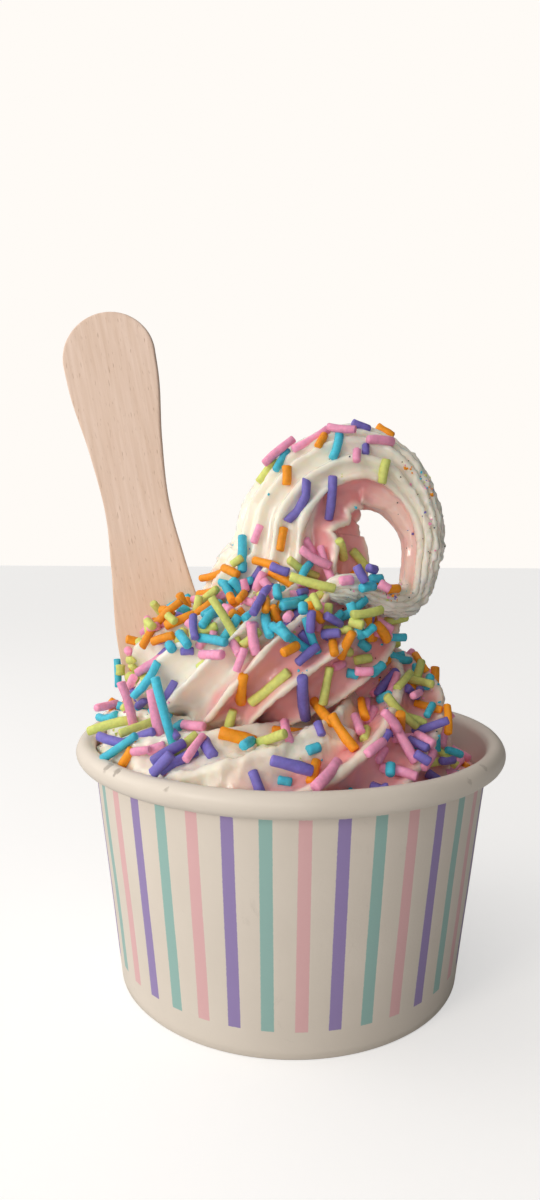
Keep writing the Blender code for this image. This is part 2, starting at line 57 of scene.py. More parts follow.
BOARD = 0.55 * MM
FOOT_WIDTH = 1.3 * MM
DISC_UNDERSIDE = 5.0 * MM
DISC_THICKNESS = 0.6 * MM
BEAD_HALF_HEIGHT = 2.19 * MM
BEAD_END = math.radians(-128)
LAP_WIDTH = 7.0 * MM
LAP_STEP = 0.32 * MM
LAP_EDGE = 0.3 * MM            # over which the lap's step rises and falls
CORE = 0.6 * MM                # innermost ring of a turned form, which a fan closes
TUCK = 0.25 * MM               # softness of the foot's corners and of the rim's tuck
TUB_COLUMNS = 360
RIM_SLACK = 0.16 * MM          # how unevenly the rim is rolled
WALL_SLACK = 0.10 * MM         # how unevenly the wall is wrapped

STRIPES = 39
STRIPE_WIDTH = 2.2 * MM
STRIPE_FIRST = -0.12126        # radians from the front, towards the right
STRIPE_FOOT = 5.4 * MM
STRIPE_TOP = 43.3 * MM
PRINT_RAGGED = 0.07 * MM       # how far the print's edges stray
PRINT_BLUR = 0.05 * MM
BOARD_COLOURS = ("E4DCD1", "D9D1C5")              # clear, and clouded by fibre
STRIPE_COLOURS = ("97C0BB", "E4B7BA", "9988BF")   # teal, pink, purple
DIRT_COLOUR = "8C8074"
# Angle from the front, radius, height, size and strength of each smudge
SMUDGES = (
    (-0.86, 42.2 * MM, 48.2 * MM, 2.2 * MM, 0.6),
    (-0.79, 42.4 * MM, 47.9 * MM, 1.6 * MM, 0.65),
    (-0.50, 42.9 * MM, 47.4 * MM, 1.0 * MM, 0.5),
    (0.75, 43.0 * MM, 47.0 * MM, 1.4 * MM, 0.3),
    (0.9, 42.4 * MM, 48.2 * MM, 1.6 * MM, 0.3),
    (-0.55, 37.0 * MM, 14.0 * MM, 1.6 * MM, 0.16),
    (2.6, 42.5 * MM, 47.5 * MM, 2.0 * MM, 0.3),
)


def linear(code):
    """An sRGB hex colour as linear red, green, blue and full alpha."""
    shares = np.array([int(code[i:i + 2], 16) for i in (0, 2, 4)]) / 255
    low = shares / 12.92
    high = ((shares + 0.055) / 1.055) ** 2.4
    return (*np.where(shares <= 0.04045, low, high).tolist(), 1.0)


def add_node(tree, kind, inputs=(), **settings):
    """Add a shader node with its settings. Each input is a socket's name or
    number with its value, or with the output that feeds it."""
    node = tree.nodes.new("ShaderNode" + kind)
    for name, value in settings.items():
        setattr(node, name, value)
    for key, value in dict(inputs).items():
        if isinstance(value, bpy.types.NodeSocket):
            tree.links.new(value, node.inputs[key])
        else:
            node.inputs[key].default_value = value
    return node


def maths(tree, operation, *values):
    """The result of one maths node on sockets or numbers. MULTIPLY_ADD is the
    first times the second, plus the third."""
    return add_node(tree, "Math", enumerate(values), operation=operation).outputs[0]


def ranged(tree, value, low, high, at_low=0.0, at_high=1.0):
    """A value carried in a straight line from low and high to at_low and
    at_high, and held there beyond them."""
    ends = {1: low, 2: high, 3: at_low, 4: at_high}
    return add_node(tree, "MapRange", {0: value, **ends}).outputs[0]


def noise(tree, where, size, detail, **values):
    """Fractal noise from 0 to 1 in clumps of about a size."""
    inputs = {"Vector": where, "Scale": 1 / size, "Detail": detail, **values}
    return add_node(tree, "TexNoise", inputs).outputs[0]


def blend(tree, share, under, over):
    """Two colours mixed, by the share of the second."""
    return add_node(tree, "Mix", {0: share, 6: under, 7: over}, data_type="RGBA").outputs[2]


def ramp(tree, value, stops, interpolation="LINEAR"):
    """The colour at a value on a ramp. Each stop is a place and a hex colour."""
    node = add_node(tree, "ValToRGB", {0: value})
    node.color_ramp.interpolation = interpolation
    elements = node.color_ramp.elements
    for element, (place, code) in zip(elements, (stops[0], stops[-1])):
        element.position = place
        element.color = linear(code)
    for place, code in stops[1:-1]:
        elements.new(place).color = linear(code)
    return node.outputs[0]


def bump(tree, height, strength, distance):
    """A normal tilted by a height from 0 to 1 that stands for a distance."""
    inputs = {"Height": height, "Strength": strength, "Distance": distance}
    return add_node(tree, "Bump", inputs).outputs[0]


def feed(tree, shader, **sources):
    """Lead sockets to the shader's inputs, underscores standing for spaces."""
    for key, source in sources.items():
        tree.links.new(source, shader.inputs[key.replace("_", " ")])


def start_material(name, **values):
    """A material, its node tree and its Principled shader with plain values set
    on the shader's own sockets, underscores standing for spaces."""
    finish = bpy.data.materials.new(name)
    finish.use_nodes = True
    shader = finish.node_tree.nodes["Principled BSDF"]
    for key, value in values.items():
        shader.inputs[key.replace("_", " ")].default_value = value
    return finish, finish.node_tree, shader


def show(name, data):
    """An object at the origin for a mesh, a lamp or a camera, put in the scene."""
    thing = bpy.data.objects.new(name, data)
    bpy.context.scene.collection.objects.link(thing)
    return thing


def ripple(points, wavelength, seed, waves=26):
    """Soft unevenness of about -1 to 1 at points in space: a sum of sine waves in
    random directions and phases over the root of their number, each 0.65 to 1.5
    times as close as the wavelength says."""
    draw = np.random.default_rng(seed)
    ways = draw.normal(size=(waves, 3))
    ways /= np.linalg.norm(ways, axis=1)[:, None]
    ways *= draw.uniform(0.65, 1.5, waves)[:, None] * 2 * np.pi / wavelength
    phases = draw.uniform(0, 2 * np.pi, waves)
    total = np.sin(points.reshape(-1, 3) @ ways.T + phases).sum(axis=1)
    return (total / math.sqrt(waves)).reshape(points.shape[:-1])


def ring_faces(rows, columns):
    """The faces of a closed form, as numbers of its points: quads between the
    rows, wrapped round the columns, and at each end a fan from a last point."""
    index = np.arange(rows * columns).reshape(rows, columns)
    after = np.roll(index, -1, axis=1)
    quads = np.stack([index[:-1], after[:-1], after[1:], index[1:]], axis=-1).reshape(-1, 4)
    fans = np.concatenate([
        np.stack([np.full(columns, rows * columns), after[0], index[0]], axis=-1),
        np.stack([np.full(columns, rows * columns + 1), index[-1], after[-1]], axis=-1),
    ])
    return quads, fans


def skin(name, rings, across=None, **layers):
    """A closed mesh through rings of points, rows by columns, with a fan to the
    middle of each end ring. The UV map is the column's share of the way round by
    the row's place in across. Each layer is a number for each point."""
    rows, columns = rings.shape[:2]
    quads, fans = ring_faces(rows, columns)
    places = np.concatenate([rings.reshape(-1, 3), rings[[0, -1]].mean(axis=1)])
    corners = np.concatenate([fans, quads[:, [0, 1, 2]], quads[:, [0, 2, 3]]])
    p, q, r = (places[corners[:, i]] for i in range(3))
    inside_out = np.einsum("ij,ij->i", p, np.cross(q, r)).sum() < 0

    heights = np.linspace(0, 1, rows) if across is None else np.asarray(across)
    row, column = np.arange(rows - 1)[:, None], np.arange(columns)
    quad_uv = np.stack([
        np.stack(np.broadcast_arrays((column + right) / columns, heights[row + up]), -1)
        for right, up in ((0, 0), (1, 0), (1, 1), (0, 1))
    ], axis=2).reshape(-1, 4, 2)
    fan_uv = np.concatenate([
        np.stack([
            np.stack(np.broadcast_arrays((column + right) / columns, heights[end]), -1)
            for right in order
        ], axis=1)
        for end, order in ((0, (0.5, 1, 0)), (-1, (0.5, 0, 1)))
    ])
    if inside_out:
        quads, fans = quads[:, ::-1], fans[:, ::-1]
        quad_uv, fan_uv = quad_uv[:, ::-1], fan_uv[:, ::-1]

    mesh = bpy.data.meshes.new(name)
    mesh.vertices.add(len(places))
    mesh.vertices.foreach_set("co", places.astype(np.float32).ravel())
    loops = np.concatenate([quads.ravel(), fans.ravel()]).astype(np.int32)
    mesh.loops.add(len(loops))
    mesh.loops.foreach_set("vertex_index", loops)
    totals = np.concatenate([np.full(len(quads), 4), np.full(len(fans), 3)]).astype(np.int32)
    starts = np.concatenate([[0], np.cumsum(totals)[:-1]]).astype(np.int32)
    mesh.polygons.add(len(totals))
    mesh.polygons.foreach_set("loop_start", starts)
    mesh.update(calc_edges=True)
    mesh.validate()
    both = np.concatenate([quad_uv.reshape(-1, 2), fan_uv.reshape(-1, 2)])
    uv = mesh.uv_layers.new(name="UVMap")
    uv.data.foreach_set("uv", both.astype(np.float32).ravel())
    for label, values in layers.items():
        layer = mesh.attributes.new(label, "FLOAT", "POINT")
        whole = np.concatenate([values.ravel(), values[[0, -1]].mean(axis=1)])
        layer.data.foreach_set("value", whole.astype(np.float32))
    mesh.shade_smooth()
    return show(name, mesh)


def finish_piece(piece, finish, slot, *nodes):
    """Give a piece its material and its place in the record: it rides on the
    only body and stands for CAD nodes. The slot is not used."""
    piece.data.materials.append(finish)
    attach(piece, "root")
    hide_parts(*nodes)


def wall_radius(height):
    """Outside radius of the conical wall: a straight line from foot to top."""
    return FOOT_RADIUS + (WALL_TOP_RADIUS - FOOT_RADIUS) * height / TUB_HEIGHT


def inside_radius(height):
    """Inside radius of the wall, and above the rim that of the rim."""
    return wall_radius(np.minimum(height, TUB_HEIGHT - BEAD_HALF_HEIGHT)) - BOARD


def stretch(points, spacing):
    """A line of points with more put between them, at most a spacing apart."""
    line = [points[0]]
    for start, end in zip(points[:-1], points[1:]):
        count = max(1, math.ceil(math.dist(start, end) / spacing))
        step = np.subtract(end, start) / count
        line += [tuple(start + step * k) for k in range(1, count + 1)]
    return np.array(line)


def tub_profile():
    """Half section of the tub, as radius and height: up the inside from the
    disc, round the rolled rim, down the outside, round the foot, under the disc."""
    bead_height = TUB_HEIGHT - BEAD_HALF_HEIGHT
    bead_inside = inside_radius(bead_height)
    half_width = (RIM_RADIUS - bead_inside) / 2
    turns = np.linspace(np.pi, BEAD_END, 26)
    bead = np.column_stack([
        bead_inside + half_width * (1 + np.cos(turns)),
        bead_height + BEAD_HALF_HEIGHT * np.sin(turns),
    ])
    under = bead[-1][1] - TUCK
    disc_top = DISC_UNDERSIDE + DISC_THICKNESS
    inside = [(CORE, disc_top), (inside_radius(disc_top), disc_top), tuple(bead[0])]
    outside = [(wall_radius(under), under), (FOOT_RADIUS + TUCK / 10, TUCK)]
    foot_inside = FOOT_RADIUS - FOOT_WIDTH
    foot = [(FOOT_RADIUS - TUCK, 0), (foot_inside + TUCK, 0), (foot_inside, TUCK),
            (foot_inside, DISC_UNDERSIDE), (CORE, DISC_UNDERSIDE)]
    return np.concatenate([stretch(inside, 2 * MM), bead[1:], stretch(outside, 1.5 * MM),
                           stretch(foot, 1.5 * MM)])


def tub_rings():
    """The half section turned round the axis from the back. Where the blank laps
    over itself the outside steps out by LAP_STEP, and the rim and the wall are a
    little uneven, always inwards of their true radius."""
    profile = tub_profile()
    turn = np.linspace(-np.pi, np.pi, TUB_COLUMNS, endpoint=False)
    radius = np.repeat(profile[:, :1], TUB_COLUMNS, axis=1)
    height = np.repeat(profile[:, 1:], TUB_COLUMNS, axis=1)
    outside = (profile[:, 0] > wall_radius(profile[:, 1]) - BOARD / 4)[:, None]
    in_bead = height > TUB_HEIGHT - 2.2 * BEAD_HALF_HEIGHT
    past_seam = (turn + np.pi) * WALL_TOP_RADIUS
    lapped = np.clip(past_seam / LAP_EDGE, 0, 1) * np.clip((LAP_WIDTH - past_seam) / LAP_EDGE, 0, 1)
    radius += np.where(outside & ~in_bead, LAP_STEP, 0) * lapped * (height > 0.5 * MM)
    points = np.stack([radius * np.sin(turn), -radius * np.cos(turn), height], axis=-1)
    uneven = 0.5 + 0.5 * np.clip(ripple(points * (1, 1, 0.3), 17 * MM, 3), -1, 1)
    dent = 0.5 + 0.5 * np.clip(ripple(points, 30 * MM, 5), -1, 1)
    inward = np.where(in_bead & outside, RIM_SLACK * uneven, WALL_SLACK * dent * outside)
    share = 1 - inward / np.maximum(radius, MM)
    points[..., :2] *= share[..., None]
    points[..., 2] -= np.where(in_bead, RIM_SLACK * uneven, 0)
    return points + (AXIS_X, 0, 0), profile[:, 1] / TUB_HEIGHT


def printed_board():
    """Coated paperboard, flexo printed. The thin coating gives a soft sheen over
    faint fibre clouds, and the print's edges are a little ragged. A point's share
    of the way round times STRIPES has the stripe's number as its whole part, and
    the rest less a half, times the pitch, is how far off its middle line it is."""
    finish, tree, shader = start_material("coated_paperboard_flexo_print", Roughness=0.46, IOR=1.48,
                                          Coat_Weight=0.12, Coat_Roughness=0.28)
    place = add_node(tree, "TexCoord")
    where = place.outputs["Object"]
    round_it, up = add_node(tree, "SeparateXYZ", {0: place.outputs["UV"]}).outputs[:2]
    first = 0.5 - (STRIPE_FIRST + np.pi) * STRIPES / (2 * np.pi)
    stripes = maths(tree, "MULTIPLY_ADD", round_it, float(STRIPES), first + STRIPES)
    ink = maths(tree, "MODULO", maths(tree, "FLOOR", stripes), 3.0)
    thirds = maths(tree, "MULTIPLY_ADD", ink, 1 / 3, 1 / 6)
    inks = ramp(tree, thirds, list(zip((0, 1 / 3, 2 / 3), STRIPE_COLOURS)), "CONSTANT")
    off_middle = maths(tree, "SUBTRACT", maths(tree, "FRACT", stripes), 0.5)
    step = 2 * np.pi / STRIPES
    widening = WALL_TOP_RADIUS - FOOT_RADIUS
    pitch = maths(tree, "MULTIPLY_ADD", up, widening * step, FOOT_RADIUS * step)
    ragged = maths(tree, "MULTIPLY_ADD", noise(tree, where, 0.45 * MM, 2.0),
                   2 * PRINT_RAGGED, -PRINT_RAGGED)
    edge = maths(tree, "MULTIPLY_ADD", maths(tree, "ABSOLUTE", off_middle), pitch, ragged)
    stripe = ranged(tree, edge, STRIPE_WIDTH / 2 + PRINT_BLUR, STRIPE_WIDTH / 2 - PRINT_BLUR)
    height = maths(tree, "MULTIPLY_ADD", up, TUB_HEIGHT, ragged)
    band = maths(tree, "MULTIPLY", maths(tree, "GREATER_THAN", height, STRIPE_FOOT),
                 maths(tree, "LESS_THAN", height, STRIPE_TOP))
    # only the outside is printed: the inside lies in from the wall's radius
    level = add_node(tree, "VectorMath", {0: where, 1: (AXIS_X, 0, 0)}, operation="SUBTRACT")
    flat = add_node(tree, "VectorMath", {0: level.outputs[0], 1: (1, 1, 0)}, operation="MULTIPLY")
    reach = add_node(tree, "VectorMath", {0: flat.outputs[0]}, operation="LENGTH").outputs["Value"]
    wall = maths(tree, "MULTIPLY_ADD", up, widening, FOOT_RADIUS - BOARD / 2)
    printed = maths(tree, "MULTIPLY", band, maths(tree, "GREATER_THAN", reach, wall))
    clouded = ranged(tree, noise(tree, where, 14 * MM, 3.0), 0.35, 0.75, 0.0, 0.5)
    board = blend(tree, clouded, *map(linear, BOARD_COLOURS))
    inked = blend(tree, maths(tree, "MULTIPLY", printed, stripe), board, inks)
    # handling marks: a few soft scuffs, and darker smudges, most of them on the rim
    scuffs = noise(tree, where, 9 * MM, 6.0, Roughness=0.75, Distortion=1.2)
    dirt = ranged(tree, scuffs, 0.62, 0.76, 0.0, 0.16)
    grain = noise(tree, where, 1.1 * MM, 3.0)
    for angle, radius, height_at, size, strength in SMUDGES:
        spot = (AXIS_X + radius * math.sin(angle), -radius * math.cos(angle), height_at)
        away = add_node(tree, "VectorMath", {0: where, 1: spot}, operation="DISTANCE")
        near = ranged(tree, away.outputs["Value"], size, 0.0, 0.0, 0.65)
        smudge = ranged(tree, maths(tree, "ADD", near, grain), 0.82, 0.98, 0.0, strength)
        dirt = maths(tree, "MAXIMUM", dirt, smudge)
    fibre = noise(tree, where, 0.6 * MM, 4.0)
    feed(tree, shader, Base_Color=blend(tree, dirt, inked, linear(DIRT_COLOUR)),
         Normal=bump(tree, fibre, 0.25, 0.12 * MM))
    return finish


rings, along = tub_rings()
tub = skin("printed_paper_tub", rings, across=along)
finish_piece(tub, printed_board(), "coated_paper", "paper_cup")

# ----------------------------------------------------- Soft serve: fill and coils
# A twist nozzle lays vanilla and strawberry side by side in one fluted rope. The
# first of it fills the tub, and then it winds up in three coils, each resting on
# the one below. Cold air dries its ridges white, while the grooves stay moist.
FILL_LEVEL = 42.0 * MM
# Radius and height of the heap that the fill makes under the coils
MOUND = ((CORE, 60.0 * MM), (8.0 * MM, 56.0 * MM), (14.0 * MM, 46.0 * MM))
COIL_AXIS_X = -2.0 * MM
WALL_CLEAR = 0.25 * MM
COIL_RIDGES = 8
COIL_GROOVE = 0.26             # groove depth as a share of the rope's half width
SHARPNESS = 0.65               # under 1: wide grooves between narrow ridges
GRID = 0.5 * MM                # spacing of the mesh at the rope's skin
RIDGE_WANDER = 0.05            # in radians
COIL_END = 6 * MM              # over which a coil's end is rounded
TORN_GROOVE = 0.4              # what is left of the grooves and ridges where the
TORN_RIDGE = 0.5               # skin is torn, as shares
CREAM_STOPS = ((0.0, "FFF3E4"), (0.3, "FEE5D6"), (0.65, "FFCBC6"), (1.0, "FFB4B5"))

# Each row is a place on a coil: turn in degrees anticlockwise from the right,
# then in millimetres the distance of the rope's middle from the axis, its height,
# and its half width and half height, and last how far round the section its
# first ridge stands there, in degrees up from straight outwards.
FIRST_COIL = (
    (15, 25.0, 29.5, 11.0, 11.0, 0), (60, 26.0, 33.5, 12.5, 11.5, 68),
    (100, 26.0, 36.0, 13.5, 12.0, 128), (145, 26.0, 39.0, 14.0, 12.5, 195),
    (190, 26.0, 40.5, 13.0, 12.0, 262), (215, 25.0, 38.0, 12.0, 11.0, 300),
)
LOWER_COIL = (
    (-235, 24.0, 38.0, 12.0, 11.5, -160), (-215, 24.5, 40.5, 13.5, 12.5, -133),
    (-180, 26.0, 42.0, 15.0, 13.0, -90), (-135, 26.0, 41.5, 15.0, 13.0, -35),
    (-90, 25.0, 41.5, 14.5, 13.5, 20), (-45, 22.5, 45.5, 14.0, 14.0, 60),
    (0, 20.5, 50.5, 14.0, 14.5, 95), (45, 18.5, 53.5, 14.0, 14.0, 135),
    (90, 17.5, 55.0, 14.0, 14.0, 180), (135, 17.0, 56.0, 13.5, 13.5, 225),
)
MIDDLE_COIL = (
    (-215, 15.0, 60.0, 13.0, 13.0, -234), (-180, 17.0, 61.0, 13.5, 13.5, -178),
    (-135, 16.0, 61.5, 13.5, 13.0, -105), (-90, 13.0, 65.0, 14.0, 13.5, -18),
    (-45, 11.5, 67.5, 14.0, 14.0, 31), (0, 11.0, 68.5, 13.5, 14.5, 70),
    (45, 9.5, 70.0, 13.5, 14.0, 110), (90, 8.0, 71.5, 13.5, 13.5, 155),
    (125, 7.0, 72.5, 13.0, 13.0, 190),
)


def smooth_rows(rows, places):
    """Rows whose first column is a place, read at other places: each gap is a
    cubic whose slope at a row is the slope between its neighbours."""
    rows = np.asarray(rows, float)
    knots, values = rows[:, 0], rows[:, 1:]
    slopes = np.gradient(values, knots, axis=0)
    index = np.clip(np.searchsorted(knots, places, side="right") - 1, 0, len(knots) - 2)
    width = (knots[index + 1] - knots[index])[:, None]
    share = ((places - knots[index])[:, None]) / width
    return (
        values[index] * (1 + 2 * share) * (1 - share) ** 2
        + values[index + 1] * share ** 2 * (3 - 2 * share)
        + slopes[index] * width * share * (1 - share) ** 2
        - slopes[index + 1] * width * share ** 2 * (1 - share)
    )


def fluted(turn, ridges, grooves, crest):
    """The rope's size at angles round it, as a share, and how near each angle is
    to a ridge, from 0 to 1. Ridges holds the angles of all ridges for each row.
    A groove is a flattened sine between the edges of two crests, and crest is
    half a crest's width as an angle."""
    past_all = np.mod(turn[:, :, None] - ridges[:, None, :], 2 * np.pi)
    index = past_all.argmin(axis=-1)
    past = past_all.min(axis=-1)
    gaps = np.mod(np.roll(ridges, -1, axis=1) - ridges, 2 * np.pi)
    gap = np.take_along_axis(gaps, index, axis=1)
    off_ridge = np.minimum(past, gap - past)
    share = np.clip((past - crest) / np.maximum(gap - 2 * crest, 1e-6), 0, 1)
    size = 1 - np.asarray(grooves)[index] * np.sin(np.pi * share) ** SHARPNESS
    ridge = np.exp(-((off_ridge / (1.5 * crest)) ** 2))
    return size, ridge


def outward_of(rings):
    """The direction out of the skin at each point: the cross product of the
    steps along the rope and round it."""
    along = np.gradient(rings, axis=0)
    around = np.roll(rings, -1, axis=1) - np.roll(rings, 1, axis=1)
    out = np.cross(around, along)
    out /= np.maximum(np.linalg.norm(out, axis=-1, keepdims=True), 1e-12)
    centre = rings.mean(axis=1, keepdims=True)
    return out * np.sign((out * (rings - centre)).sum(axis=(0, 1, 2)))


def frosted(rings, ridge, torn, bead, seed):
    """The skin moved outwards by the sum of its small relief: slow lumps and
    pores all over, a crumbly bead along each ridge, and where it is torn, soft
    flakes drawn out up and down, flattened by a hyperbolic tangent."""
    out = outward_of(rings)
    lumps = 0.15 * MM * ripple(rings, 7 * MM, seed)
    pores = 0.04 * MM * ripple(rings, 1.6 * MM, seed + 1)
    wave = 1 + 0.28 * ripple(rings, 3.4 * MM, seed + 8)
    crumbs = ridge * (bead * wave + 0.10 * MM * ripple(rings, 1.2 * MM, seed + 2))
    flake = ripple(rings * (1, 1, 0.35), 3.6 * MM, seed + 3)
    fine = ripple(rings * (1, 1, 0.6), 1.3 * MM, seed + 4)
    ragged = torn * (0.26 * MM * np.tanh(2.2 * flake) + 0.10 * MM * fine)
    return rings + out * (lumps + pores + crumbs + ragged)[..., None]


def soft_step(low, high, values):
    """From 0 at low to 1 at high along an S curve."""
    share = np.clip((values - low) / (high - low), 0, 1)
    return share * share * (3 - 2 * share)


def rounded(share):
    """How wide a rope is near its end: a quarter circle from almost nothing at
    a share of 0 to its full width at 1."""
    return np.sqrt(1 - (1 - np.clip(share, 0, 1)) ** 2) * 0.97 + 0.03


def coil(name, rows, crest_width, berry_middle, torn_at, seed):
    """A fluted rope laid round the axis. Each section stands in an upright plane
    through the axis: its middle plus the half width times the cosine outwards and
    the half height times the sine up, each shortened by the flutes. Its ridges
    turn as the coil goes on, and the strawberry half turns with them, round
    berry_middle. Torn_at holds the turn, the angle round the section, and half
    the extents of both, of each torn patch, all in degrees."""
    rows = np.array(rows, float)
    rows[:, [0, 5]] = np.radians(rows[:, [0, 5]])
    rows[:, 1:5] *= MM
    reach_out = (rows[:, 1] + rows[:, 3]).mean()
    count = math.ceil((rows[-1, 0] - rows[0, 0]) * reach_out / GRID)
    turns = np.linspace(rows[0, 0], rows[-1, 0], count)
    places = smooth_rows(rows, turns)
    columns = int(2 * np.pi * rows[:, 3].mean() / GRID)
    around = np.linspace(0, 2 * np.pi, columns, endpoint=False)
    way = np.stack([np.cos(turns), np.sin(turns), turns / 3], -1) * 20 * MM
    even = np.arange(COIL_RIDGES) * 2 * np.pi / COIL_RIDGES
    ridges = even + RIDGE_WANDER * ripple(way, 16 * MM, seed + 9)[:, None]
    grooves = np.full(COIL_RIDGES, COIL_GROOVE)
    all_around = np.tile(around, (count, 1))
    size, ridge = fluted(all_around, ridges, grooves, crest_width / 2 / places[:, 2:3])
    section = all_around + places[:, 4:5]
    torn = np.zeros_like(ridge)
    for patch in torn_at:
        middle_turn, middle_section, wide, high = np.radians(patch)
        round_section = np.angle(np.exp(1j * (section - middle_section)))
        off = np.hypot((turns[:, None] - middle_turn) / wide, round_section / high)
        torn = np.maximum(torn, soft_step(1.0, 0.55, off))
    size = 1 - (1 - size) * (1 - (1 - TORN_GROOVE) * torn)
    ridge = ridge * (1 - (1 - TORN_RIDGE) * torn)
    from_end = np.minimum(turns - turns[0], turns[-1] - turns) * reach_out
    taper = rounded(from_end / COIL_END)[:, None]
    reach = places[:, 0:1] + places[:, 2:3] * size * taper * np.cos(section)
    height = places[:, 1:2] + places[:, 3:4] * size * taper * np.sin(section)
    reach = np.maximum(reach, MM)
    rings = np.stack([COIL_AXIS_X + reach * np.cos(turns)[:, None],
                      reach * np.sin(turns)[:, None], height], axis=-1)
    facing = np.cos(all_around - np.radians(berry_middle))
    mottle = 0.12 * ripple(rings, 11 * MM, seed + 5)
    berry = soft_step(-0.30, 0.40, facing + mottle)
    rings = frosted(rings, ridge, torn, 0.26 * crest_width, seed)
    away = np.hypot(rings[..., 0], rings[..., 1])
    pull = np.minimum(1.0, (inside_radius(rings[..., 2]) - WALL_CLEAR) / away)
    rings[..., :2] *= pull[..., None]
    return skin(name, rings + (AXIS_X, 0, 0), berry=berry, ridge=np.maximum(ridge, 0.7 * torn))


def frozen_cream():
    """Vanilla and strawberry soft serve, frozen foam with a melting skin: light
    sinks in and comes back warm, the grooves are glossy with melt, and the
    ridges are whiter, rougher and sparkle with ice."""
    finish, tree, shader = start_material("vanilla_and_strawberry_soft_serve", IOR=1.38,
                                          Subsurface_Weight=0.75, Subsurface_Scale=2.0 * MM,
                                          Subsurface_Radius=(1.0, 0.68, 0.52),
                                          Coat_Weight=0.8, Coat_Roughness=0.09)
    where = add_node(tree, "TexCoord").outputs["Object"]
    berry = add_node(tree, "Attribute", attribute_name="berry").outputs["Fac"]
    ridge = add_node(tree, "Attribute", attribute_name="ridge").outputs["Fac"]
    swirl = maths(tree, "MULTIPLY_ADD", noise(tree, where, 5 * MM, 3.0), 0.3, -0.15)
    pink = ranged(tree, maths(tree, "ADD", berry, swirl), 0.08, 0.72)
    dried = ranged(tree, ridge, 0.15, 0.9, 1.0, 0.26)
    flavours = ramp(tree, maths(tree, "MULTIPLY", pink, dried), CREAM_STOPS)
    ice = noise(tree, where, 0.5 * MM, 4.0, Roughness=0.65)
    gloss = ranged(tree, ridge, 0.0, 1.0, 0.30, 0.55)
    rough = maths(tree, "ADD", gloss, maths(tree, "MULTIPLY_ADD", ice, 0.18, -0.09))
    depth = ranged(tree, ridge, 0.0, 1.0, 0.30, 0.95)
    foam = maths(tree, "MULTIPLY_ADD", ice, 0.45, noise(tree, where, 1.8 * MM, 5.0))
    raised = bump(tree, maths(tree, "MULTIPLY", foam, depth), 0.6, 0.25 * MM)
    feed(tree, shader, Base_Color=flavours, Roughness=rough, Normal=raised, Coat_Normal=raised)
    return finish


def fill_rings():
    """The fill as a turned form under the coils, its open top in soft lumps."""
    floor = DISC_UNDERSIDE + DISC_THICKNESS + WALL_CLEAR
    corners = [*MOUND, (inside_radius(FILL_LEVEL) - WALL_CLEAR, FILL_LEVEL),
               (inside_radius(floor) - WALL_CLEAR, floor), (CORE, floor)]
    profile = stretch(corners, 1.0 * MM)
    turn = np.linspace(0, 2 * np.pi, 240, endpoint=False)
    points = np.stack([profile[:, :1] * np.cos(turn), profile[:, :1] * np.sin(turn),
                       np.repeat(profile[:, 1:], len(turn), axis=1)], axis=-1)
    top = points[..., 2] > FILL_LEVEL - 2 * MM
    points[..., 2] += top * (0.8 * ripple(points, 9 * MM, 31) - 0.6) * MM
    berry = 0.5 + 0.5 * np.clip(points[..., 0] / (20 * MM) + ripple(points, 14 * MM, 33), -1, 1)
    return points + (AXIS_X, 0, 0), berry


soft_serve_finish = frozen_cream()
rings, berry = fill_rings()
fill = skin("soft_serve_fill", rings, berry=berry, ridge=0 * berry)
first = coil("first_coil", FIRST_COIL, 1.1 * MM, 60, (), 41)
lower = coil("lower_coil", LOWER_COIL, 1.5 * MM, -62,
             ((-122, 35, 38, 72), (-86, 72, 22, 34), (-70, 66, 9, 14)), 51)
middle = coil("middle_coil", MIDDLE_COIL, 1.1 * MM, -36, ((-120, -52, 24, 20),), 61)
for piece in (fill, first, lower, middle):
    finish_piece(piece, soft_serve_finish, "soft_serve", "soft_serve")

# ------------------------------------------------------------ Soft serve: the curl
# The nozzle lifts off and the rope folds over itself, so the thinning tail hangs
# down in a loop and dries on its outer side. Inside the loop the strawberry half
# shows, still moist.

# Each row is a place on the route in millimetres from the tub's axis: across,
# back, up, and half the rope's width there
CURL = (
    (-8.0, 8.0, 62.0, 13.0), (-5.0, 5.0, 69.0, 15.6), (-0.6, 2.0, 77.0, 16.2),
    (1.6, 0.5, 84.0, 14.6), (2.2, 0.0, 91.5, 12.6), (6.6, 0.0, 99.0, 10.4),
    (13.8, 0.0, 102.2, 8.8), (22.3, 0.0, 98.0, 6.3), (26.6, -0.5, 89.8, 4.7),
    (26.2, -2.2, 82.2, 3.8), (23.6, -6.0, 76.9, 3.3), (19.0, -11.0, 76.1, 3.0),
    (13.2, -14.0, 78.0, 2.9), (8.4, -17.0, 78.8, 2.5), (5.6, -18.0, 78.6, 1.7),
)
CURL_DEPTH = 0.86              # its front to back size for its width
CURL_GIRTH = 14 * MM           # the half width at which its mesh is as fine as GRID
CURL_END = 1.8 * MM            # over which its thin end is rounded
CURL_CREST = 0.5 * MM          # half a crest's width
CURL_WANDER = 0.03             # how far the ridges stray, and the wavy one, in
LIP_WANDER = 0.10              # radians
